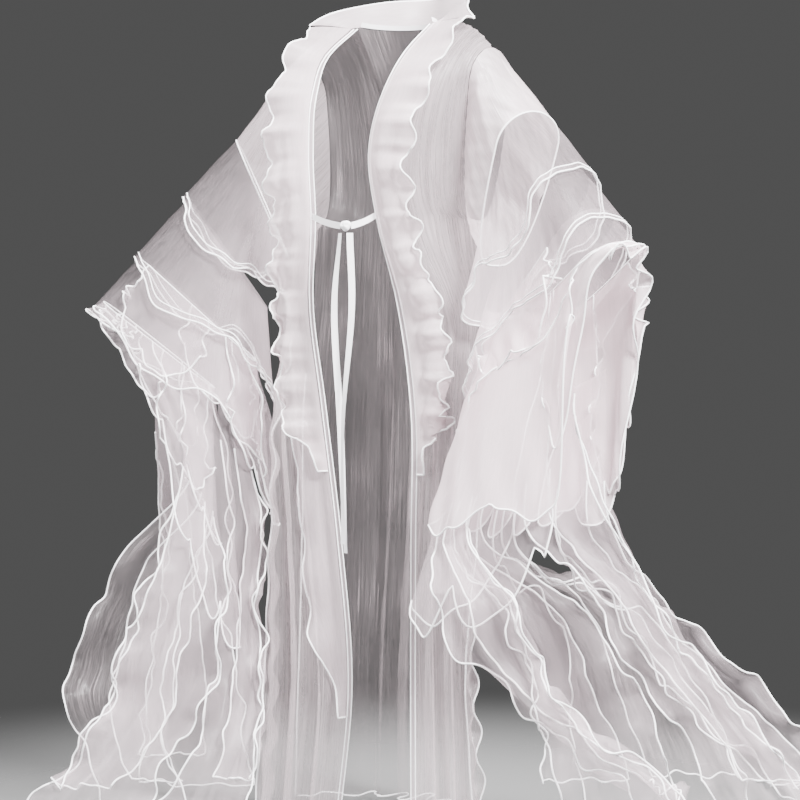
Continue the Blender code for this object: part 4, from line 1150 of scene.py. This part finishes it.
def add_petal(name, grid, petal, node_name):
    """One petal of a flounce, hemmed at its sides and lower edge and sewn on at its top."""
    sizes = dict(zip(PETAL_NAMES.split(), petal))
    points = petal_points(name, grid, sizes)
    line = np.concatenate((points[:, 0], points[-1], points[::-1, -1]))
    # short petals count as doubled, but only the left sleeve's take the denser cloth: painted light, brighter
    # on the lit side
    lit_side_dense = node_name.endswith("left") and sizes["reach"] < LONG_PETAL
    cloth = "organza_dense" if lit_side_dense else "organza_sleeve"
    sewn_sheet(name, points, cloth, "organza_smooth", (node_name,),
               (("_hem", line, False, HEM), ("_seam", points[0], False, SEAM)))


RING_SEEDS = {"right": 100, "left": 103}
RING_SEED_STEP = 7
SCALLOPS = (5, 9, 14)         # waves round a ring's hem
SCALLOP_DEPTH = 0.060         # depth of a single wave, shared out over the waves
RING_RUFFLES = (17, 23, 31)
RING_RUFFLE = 0.0022


def flounce_detail(grid, side, index):
    """Scalloped lower edge and smaller ruffles between the main waves of a flounce."""
    rows, columns = grid.shape[:2]
    rng = np.random.default_rng(RING_SEEDS[side] + index * RING_SEED_STEP)
    turn = np.arange(columns) / columns
    under = 0.5 - 0.5 * np.cos(2.0 * math.pi * turn)
    scallop = np.zeros(columns)
    for waves in SCALLOPS:
        scallop += rng.uniform(0.5, 1.0) / waves * np.sin(2.0 * math.pi * (waves * turn + rng.uniform()))
    share = np.linspace(0.0, 1.0, rows)[:, None]
    way = unit(np.diff(grid[-2:], axis=0)[0])
    drop = SCALLOP_DEPTH * scallop * (0.25 + 0.75 * under)
    grid = grid + way[None] * drop[None, :, None] * (share**2)[:, :, None]
    ruffle = np.zeros(columns)
    for waves in RING_RUFFLES:
        ruffle += rng.uniform(0.5, 1.0) * np.sin(2.0 * math.pi * (waves * turn + rng.uniform()))
    lift = RING_RUFFLE * ruffle[None, :] * share**2.5 * (0.3 + 0.7 * under[None, :])
    return grid + normals_of(grid, closed=True) * lift[:, :, None]


# ---------------------------------------------------------------- trims
COLLAR_COLUMNS = 26
COLLAR_BACK_ROWS = 150
BAND_SPAN = (0.003, 1.231)    # depth below the shoulders at which the bands start and end
BAND_ROWS = 260
BAND_NECK_ROWS = 60
COLLAR_RUFFLES = ((19, 0.0022), (27, 0.0018), (41, 0.0012))    # waves down the collar and their height


def collar_fine(side):
    """The collar ruffle with its sewn gathers and an uneven free edge."""
    grid = collar_points(side, count(COLLAR_COLUMNS))
    rows, columns = grid.shape[:2]
    rng = np.random.default_rng(SEEDS["collar_" + side])
    v = np.linspace(0.0, 1.0, rows)[:, None]
    share = np.linspace(0.0, 1.0, columns)[None, :]
    lift = np.zeros((rows, columns))
    for waves, height in COLLAR_RUFFLES:
        turn = 2.0 * math.pi * (waves * v + rng.uniform()) + 0.8 * np.sin(11.0 * v)
        lift += height * np.sin(turn) * share**1.3
    lift *= np.clip((1.0 - v) / 0.08, 0.0, 1.0)
    return grid + normals_of(grid) * lift[:, :, None]


# Smooth facing laid on the lower opening edge of the right front.
FACING = Table("down width lift", (
    (0.640, 0.074, 0.004), (0.760, 0.084, 0.006), (0.860, 0.080, 0.007), (0.930, 0.062, 0.006),
    (1.000, 0.032, 0.005), (1.070, 0.004, 0.003)))
FACING_ROWS = 120
FACING_COLUMNS = 24
FACING_WAVES = 9.0            # waves of the facing's free edge per metre
FACING_WAVE = 0.006
FACING_START = 0.0010         # distance of its sewn edge from the opening edge
FACING_LIFT = 0.0020          # height of its sewn edge above the front
FACING_UNEVEN = 0.004         # change of its width over its waves


def facing_points():
    """Grid of the facing, from the opening edge outwards over the front."""
    first, last = FACING.rows[0][0], FACING.rows[-1][0]
    share = shares_of(FACING_COLUMNS)
    across = []
    lifts = []
    downs = np.linspace(first, last, count(FACING_ROWS))
    for down in downs:
        turn = 2.0 * math.pi * FACING_WAVES * (down - first) + 0.5
        across.append(FACING_START + share * (FACING.at("width", down) + FACING_UNEVEN * math.sin(turn)))
        wave = FACING_WAVE * (1.0 + math.cos(turn)) * share**1.6
        lifts.append(FACING.at("lift", down) * share + wave + FACING_LIFT)
    return front_strip("right", downs, across, lifts)


def add_band(side):
    name = "band_" + side
    grid = band_points(side, np.linspace(*BAND_SPAN, count(BAND_ROWS)))
    sewn_sheet(name + "_cloth", grid, "organza_smooth", "ribbon", (name,),
               (("_fold", grid[:, -1], False, SEAM), ("_seam", grid[:, 0], False, SEAM)))


def add_collar(side):
    name = "collar_" + side
    grid = collar_fine(side)
    line = np.concatenate((grid[:, -1], grid[-1, ::-1]))
    sewn_sheet(name + "_cloth", grid, "organza_dense", "organza_smooth", (name,),
               (("_hem", line, False, HEM),))


def add_facing():
    grid = facing_points()
    line = np.concatenate((grid[:, -1], grid[-1, ::-1]))
    sewn_sheet("front_right_facing", grid, "organza_smooth", "organza_crinkle", ("front_right",),
               (("_hem", line, False, HEM),))


def add_neck():
    """Band and standing ruffle behind the neck."""
    grid = band_neck_points(BAND_NECK_ROWS)
    sewn_sheet("band_neck_cloth", grid, "ribbon", "ribbon", ("band_neck",))
    grid = collar_back_points(count(COLLAR_BACK_ROWS), count(COLLAR_COLUMNS))
    sewn_sheet("collar_back_cloth", grid, "organza_dense", "organza_smooth", ("collar_back",),
               (("_hem", grid[:, -1], False, HEM),))


def add_trims():
    for side in ("right", "left"):
        add_band(side)
        add_collar(side)
    add_facing()
    add_neck()


# ---------------------------------------------------------------- streamers and ties
STREAMER_ROWS = 200
STREAMER_COLUMNS = 32
STREAMER_HEM_START = 0.185    # the streamers are hemmed below this share of their length
STREAMER_WAVES = ((5, 1.3), (9, 0.8), (19, 0.35))    # waves down an edge, and their share of its height
EDGE_HEIGHT = {"train": 0.0025, "streamer": 0.0042}    # height of the waves at the edges
LONG_FOLD = 0.009             # height of the long soft folds
END_WAVE = 0.005              # height of the waves at the lower end
BREADTH_WAVES = ((2.2, 0.00, 0.10), (11.0, 0.25, 0.020))    # waves down, their slant and share of the breadth
STREAMER_SEED = 40
LAYER_SEED_STEP = 20
TIE_ROWS = 40
TAIL_ROWS = 120


def streamer_detail(grid, seed, height):
    """Long soft folds, an uneven width and ruffled edges of a streamer."""
    rows, columns = grid.shape[:2]
    rng = np.random.default_rng(seed)
    v = np.linspace(0.0, 1.0, rows)[:, None]
    u = np.linspace(-1.0, 1.0, columns)[None, :]
    free = smooth((v - 0.20) / 0.2)
    middle = grid.mean(axis=1, keepdims=True)
    breadth = np.ones((rows, columns))
    for waves, slant, share in BREADTH_WAVES:
        breadth += share * free * np.sin(2.0 * math.pi * (waves * v + slant * u + rng.uniform()))
    grid = middle + (grid - middle) * breadth[:, :, None]
    fold = np.cos(math.pi * (1.8 * u + 1.3 * v + rng.uniform(0.0, 2.0)))
    lift = LONG_FOLD * fold * smooth((v - 0.15) / 0.3)
    for waves, share in STREAMER_WAVES:
        phase = rng.uniform(0.0, 2.0 * math.pi, 2)
        for side, p in zip((-1.0, 1.0), phase):
            near = np.clip((u * side - 0.30) / 0.70, 0.0, 1.0) ** 1.5
            turn = 2.0 * math.pi * waves * v + 1.2 * np.sin(5.0 * v + p) + p
            lift = lift + height * share * near * np.sin(turn) * free
    lift = lift + END_WAVE * np.sin(2.0 * math.pi * (2.0 * u + rng.uniform())) * smooth((v - 0.9) / 0.1)
    return grid + normals_of(grid) * lift[:, :, None]


# Layers of the streamers: shift over the width, breadth and length as shares, and distance in front in metres
STREAMER_LAYERS = ((0.00, 1.00, 1.00, 0.000), (0.22, 0.62, 0.93, 0.011))


def streamer_layer(grid, shift, breadth, length, front):
    """A narrower layer of a streamer, lying before or behind it."""
    rows, columns = grid.shape[:2]
    rows_at = np.linspace(0.0, (rows - 1) * length, rows)[:, None] + np.zeros((1, columns))
    u = np.clip(0.5 + shift + (np.linspace(0.0, 1.0, columns) - 0.5) * breadth, 0.0, 0.999)
    columns_at = u[None, :] * (columns - 1) + np.zeros((rows, 1))
    points = read_grid(grid, rows_at, columns_at)
    v = np.linspace(0.0, 1.0, rows)[:, None]
    return points + normals_of(points) * (front * smooth((v - 0.25) / 0.2))[:, :, None]


def add_streamer(name, number_of_streamer):
    """A streamer or train in its two layers, each hemmed round."""
    kind = "train" if name.startswith("train") else "streamer"
    slot = {"train": "organza_crinkle", "streamer": "organza_smooth"}[kind]
    cloth = {"train": "organza_crinkle", "streamer": "organza_streamer"}[kind]
    whole = streamer_points(name, count(STREAMER_ROWS), count(STREAMER_COLUMNS))
    for number, (shift, breadth, length, front) in enumerate(STREAMER_LAYERS):
        mirrored = -shift if number_of_streamer % 2 else shift
        grid = streamer_layer(whole, mirrored, breadth, length, front) if number else whole
        seed = STREAMER_SEED + number_of_streamer + LAYER_SEED_STEP * number
        grid = streamer_detail(grid, seed, EDGE_HEIGHT[kind])
        start = int(len(grid) * STREAMER_HEM_START)
        line = np.concatenate((grid[start:, 0], grid[-1], grid[start:, -1][::-1]))
        ending = "_ruffle" if number else "_cloth"
        sewn_sheet(name + ending, grid, cloth, slot, (name,), (("_hem", line, False, HEM),))


def add_streamers():
    for number, name in enumerate(STREAMERS):
        add_streamer(name, number)


def add_tail(side, sign):
    """Loose end of the tie: a limp ribbon with a bare end."""
    name = "tie_tail_" + side
    points = tail_points(side, sign, count(TAIL_ROWS))
    made = sheet_mesh(name + "_cloth", points, "ribbon", (name,))


def add_ties():
    add_knot()
    for side, sign in (("right", -1.0), ("left", 1.0)):
        name = "tie_" + side
        grid = tie_points(side, sign, count(TIE_ROWS))
        sewn_sheet(name + "_cloth", grid, "ribbon", "ribbon", (name,))
        add_tail(side, sign)


KNOT_GROOVE = 0.10            # depth of the knot's grooves, as a share of its size


def add_knot():
    """The knot: a lump with grooves running round it."""
    mesh = bpy.data.meshes.new("tie_knot_cloth")
    shape = bmesh.new()
    bmesh.ops.create_uvsphere(shape, u_segments=32, v_segments=20, radius=0.5)
    for vert in shape.verts:
        groove = 1.0 + KNOT_GROOVE * math.sin(3.0 * math.atan2(vert.co.z, vert.co.x) + 6.0 * vert.co.y)
        vert.co = tuple(KNOT[k] + vert.co[k] * KNOT_SIZE[k] * groove for k in range(3))
    shape.to_mesh(mesh)
    shape.free()
    mesh.polygons.foreach_set("use_smooth", [True] * len(mesh.polygons))
    mesh.materials.append(MATERIALS["ribbon"])
    lump = bpy.data.objects.new("tie_knot_cloth", mesh)
    bpy.context.scene.collection.objects.link(lump)
    place(lump, ("tie_knot",))


# ---------------------------------------------------------------- stage
FLOOR_LEVEL = -1.262
FLOOR_REACH = 5.0
FLOOR_GREY = 0.14
FLOOR_ROUGHNESS = 0.8
FLOOR_FADE = (0.30, 1.5)      # the floor fades into the backdrop between these distances from the origin
STUDIO_GREY = 0.088
LIGHT_AIM = (0.0, 0.0, -0.55)
CAMERA_AZIMUTH = 35.0
CAMERA_DISTANCE = 4.0
CAMERA_HEIGHT = -0.43
CAMERA_PITCH = 2.2
CAMERA_LENS = 115.2
CAMERA_SENSOR = 36.0
CAMERA_SHIFT = 0.006
LIGHTS = (
    # name, place, size, power
    ("key", (2.9, -1.2, 1.9), 1.1, 1100.0),
    ("fill", (-2.0, -3.0, 0.4), 2.2, 250.0),
    ("back", (-1.4, 2.6, 1.4), 1.6, 60.0),
    ("top", (-0.3, -0.6, 2.8), 1.2, 360.0))


def floor_paint():
    """Pale floor that fades into the backdrop with distance from the robe."""
    paint = bpy.data.materials.new("floor")
    paint.use_nodes = True
    tree = paint.node_tree
    tree.nodes.clear()
    out = node(tree, "ShaderNodeOutputMaterial")
    where = node(tree, "ShaderNodeTexCoord").outputs["Object"]
    distance = node(tree, "ShaderNodeVectorMath", operation="LENGTH")
    feed(tree, distance.inputs[0], where)
    fade = node(tree, "ShaderNodeMapRange", interpolation_type="SMOOTHSTEP")
    ends = {"Value": distance.outputs["Value"], "From Min": FLOOR_FADE[0], "From Max": FLOOR_FADE[1],
            "To Min": 1.0, "To Max": 0.0}
    for name, value in ends.items():
        feed(tree, fade.inputs[name], value)
    clear = node(tree, "ShaderNodeBsdfTransparent").outputs["BSDF"]
    solid = node(tree, "ShaderNodeBsdfPrincipled")
    feed(tree, solid.inputs["Base Color"], (FLOOR_GREY, FLOOR_GREY, FLOOR_GREY, 1.0))
    feed(tree, solid.inputs["Roughness"], FLOOR_ROUGHNESS)
    feed(tree, out.inputs["Surface"], mixed(tree, fade.outputs["Result"], clear, solid.outputs["BSDF"]))
    return paint


def add_floor():
    mesh = bpy.data.meshes.new("floor")
    corners = ((-1, -1), (1, -1), (1, 1), (-1, 1))
    mesh.from_pydata([(FLOOR_REACH * x, FLOOR_REACH * y, 0.0) for x, y in corners], [], [(0, 1, 2, 3)])
    floor = bpy.data.objects.new("floor", mesh)
    floor.location = (0.0, 0.0, FLOOR_LEVEL)
    mesh.materials.append(floor_paint())
    bpy.context.scene.collection.objects.link(floor)


def add_studio():
    """Plain grey surroundings."""
    world = bpy.data.worlds.new("studio")
    world.use_nodes = True
    backdrop = world.node_tree.nodes["Background"]
    feed(world.node_tree, backdrop.inputs["Color"], (STUDIO_GREY, STUDIO_GREY, STUDIO_GREY, 1.0))
    feed(world.node_tree, backdrop.inputs["Strength"], 1.0)
    bpy.context.scene.world = world


def add_lights():
    """Round soft lights, all aimed at the middle of the robe."""
    for name, spot, size, power in LIGHTS:
        lamp = bpy.data.lights.new(name, "AREA")
        lamp.shape = "DISK"
        lamp.size = size
        lamp.energy = power
        made = bpy.data.objects.new(name, lamp)
        made.location = spot
        aim = np.array(LIGHT_AIM) - np.array(spot)
        made.rotation_euler = (math.acos(-aim[2] / np.linalg.norm(aim)), 0.0, math.atan2(-aim[0], aim[1]))
        bpy.context.scene.collection.objects.link(made)


def add_camera():
    lens = bpy.data.cameras.new("camera")
    lens.sensor_width = CAMERA_SENSOR
    lens.lens = CAMERA_LENS
    lens.shift_x = CAMERA_SHIFT
    made = bpy.data.objects.new("camera", lens)
    turn = math.radians(CAMERA_AZIMUTH)
    made.location = (CAMERA_DISTANCE * math.sin(turn), -CAMERA_DISTANCE * math.cos(turn), CAMERA_HEIGHT)
    made.rotation_euler = (math.radians(90.0 - CAMERA_PITCH), 0.0, turn)
    bpy.context.scene.collection.objects.link(made)
    bpy.context.scene.camera = made


add_body()
add_sleeves()
add_trims()
add_streamers()
add_ties()
add_floor()
add_studio()
add_lights()
add_camera()
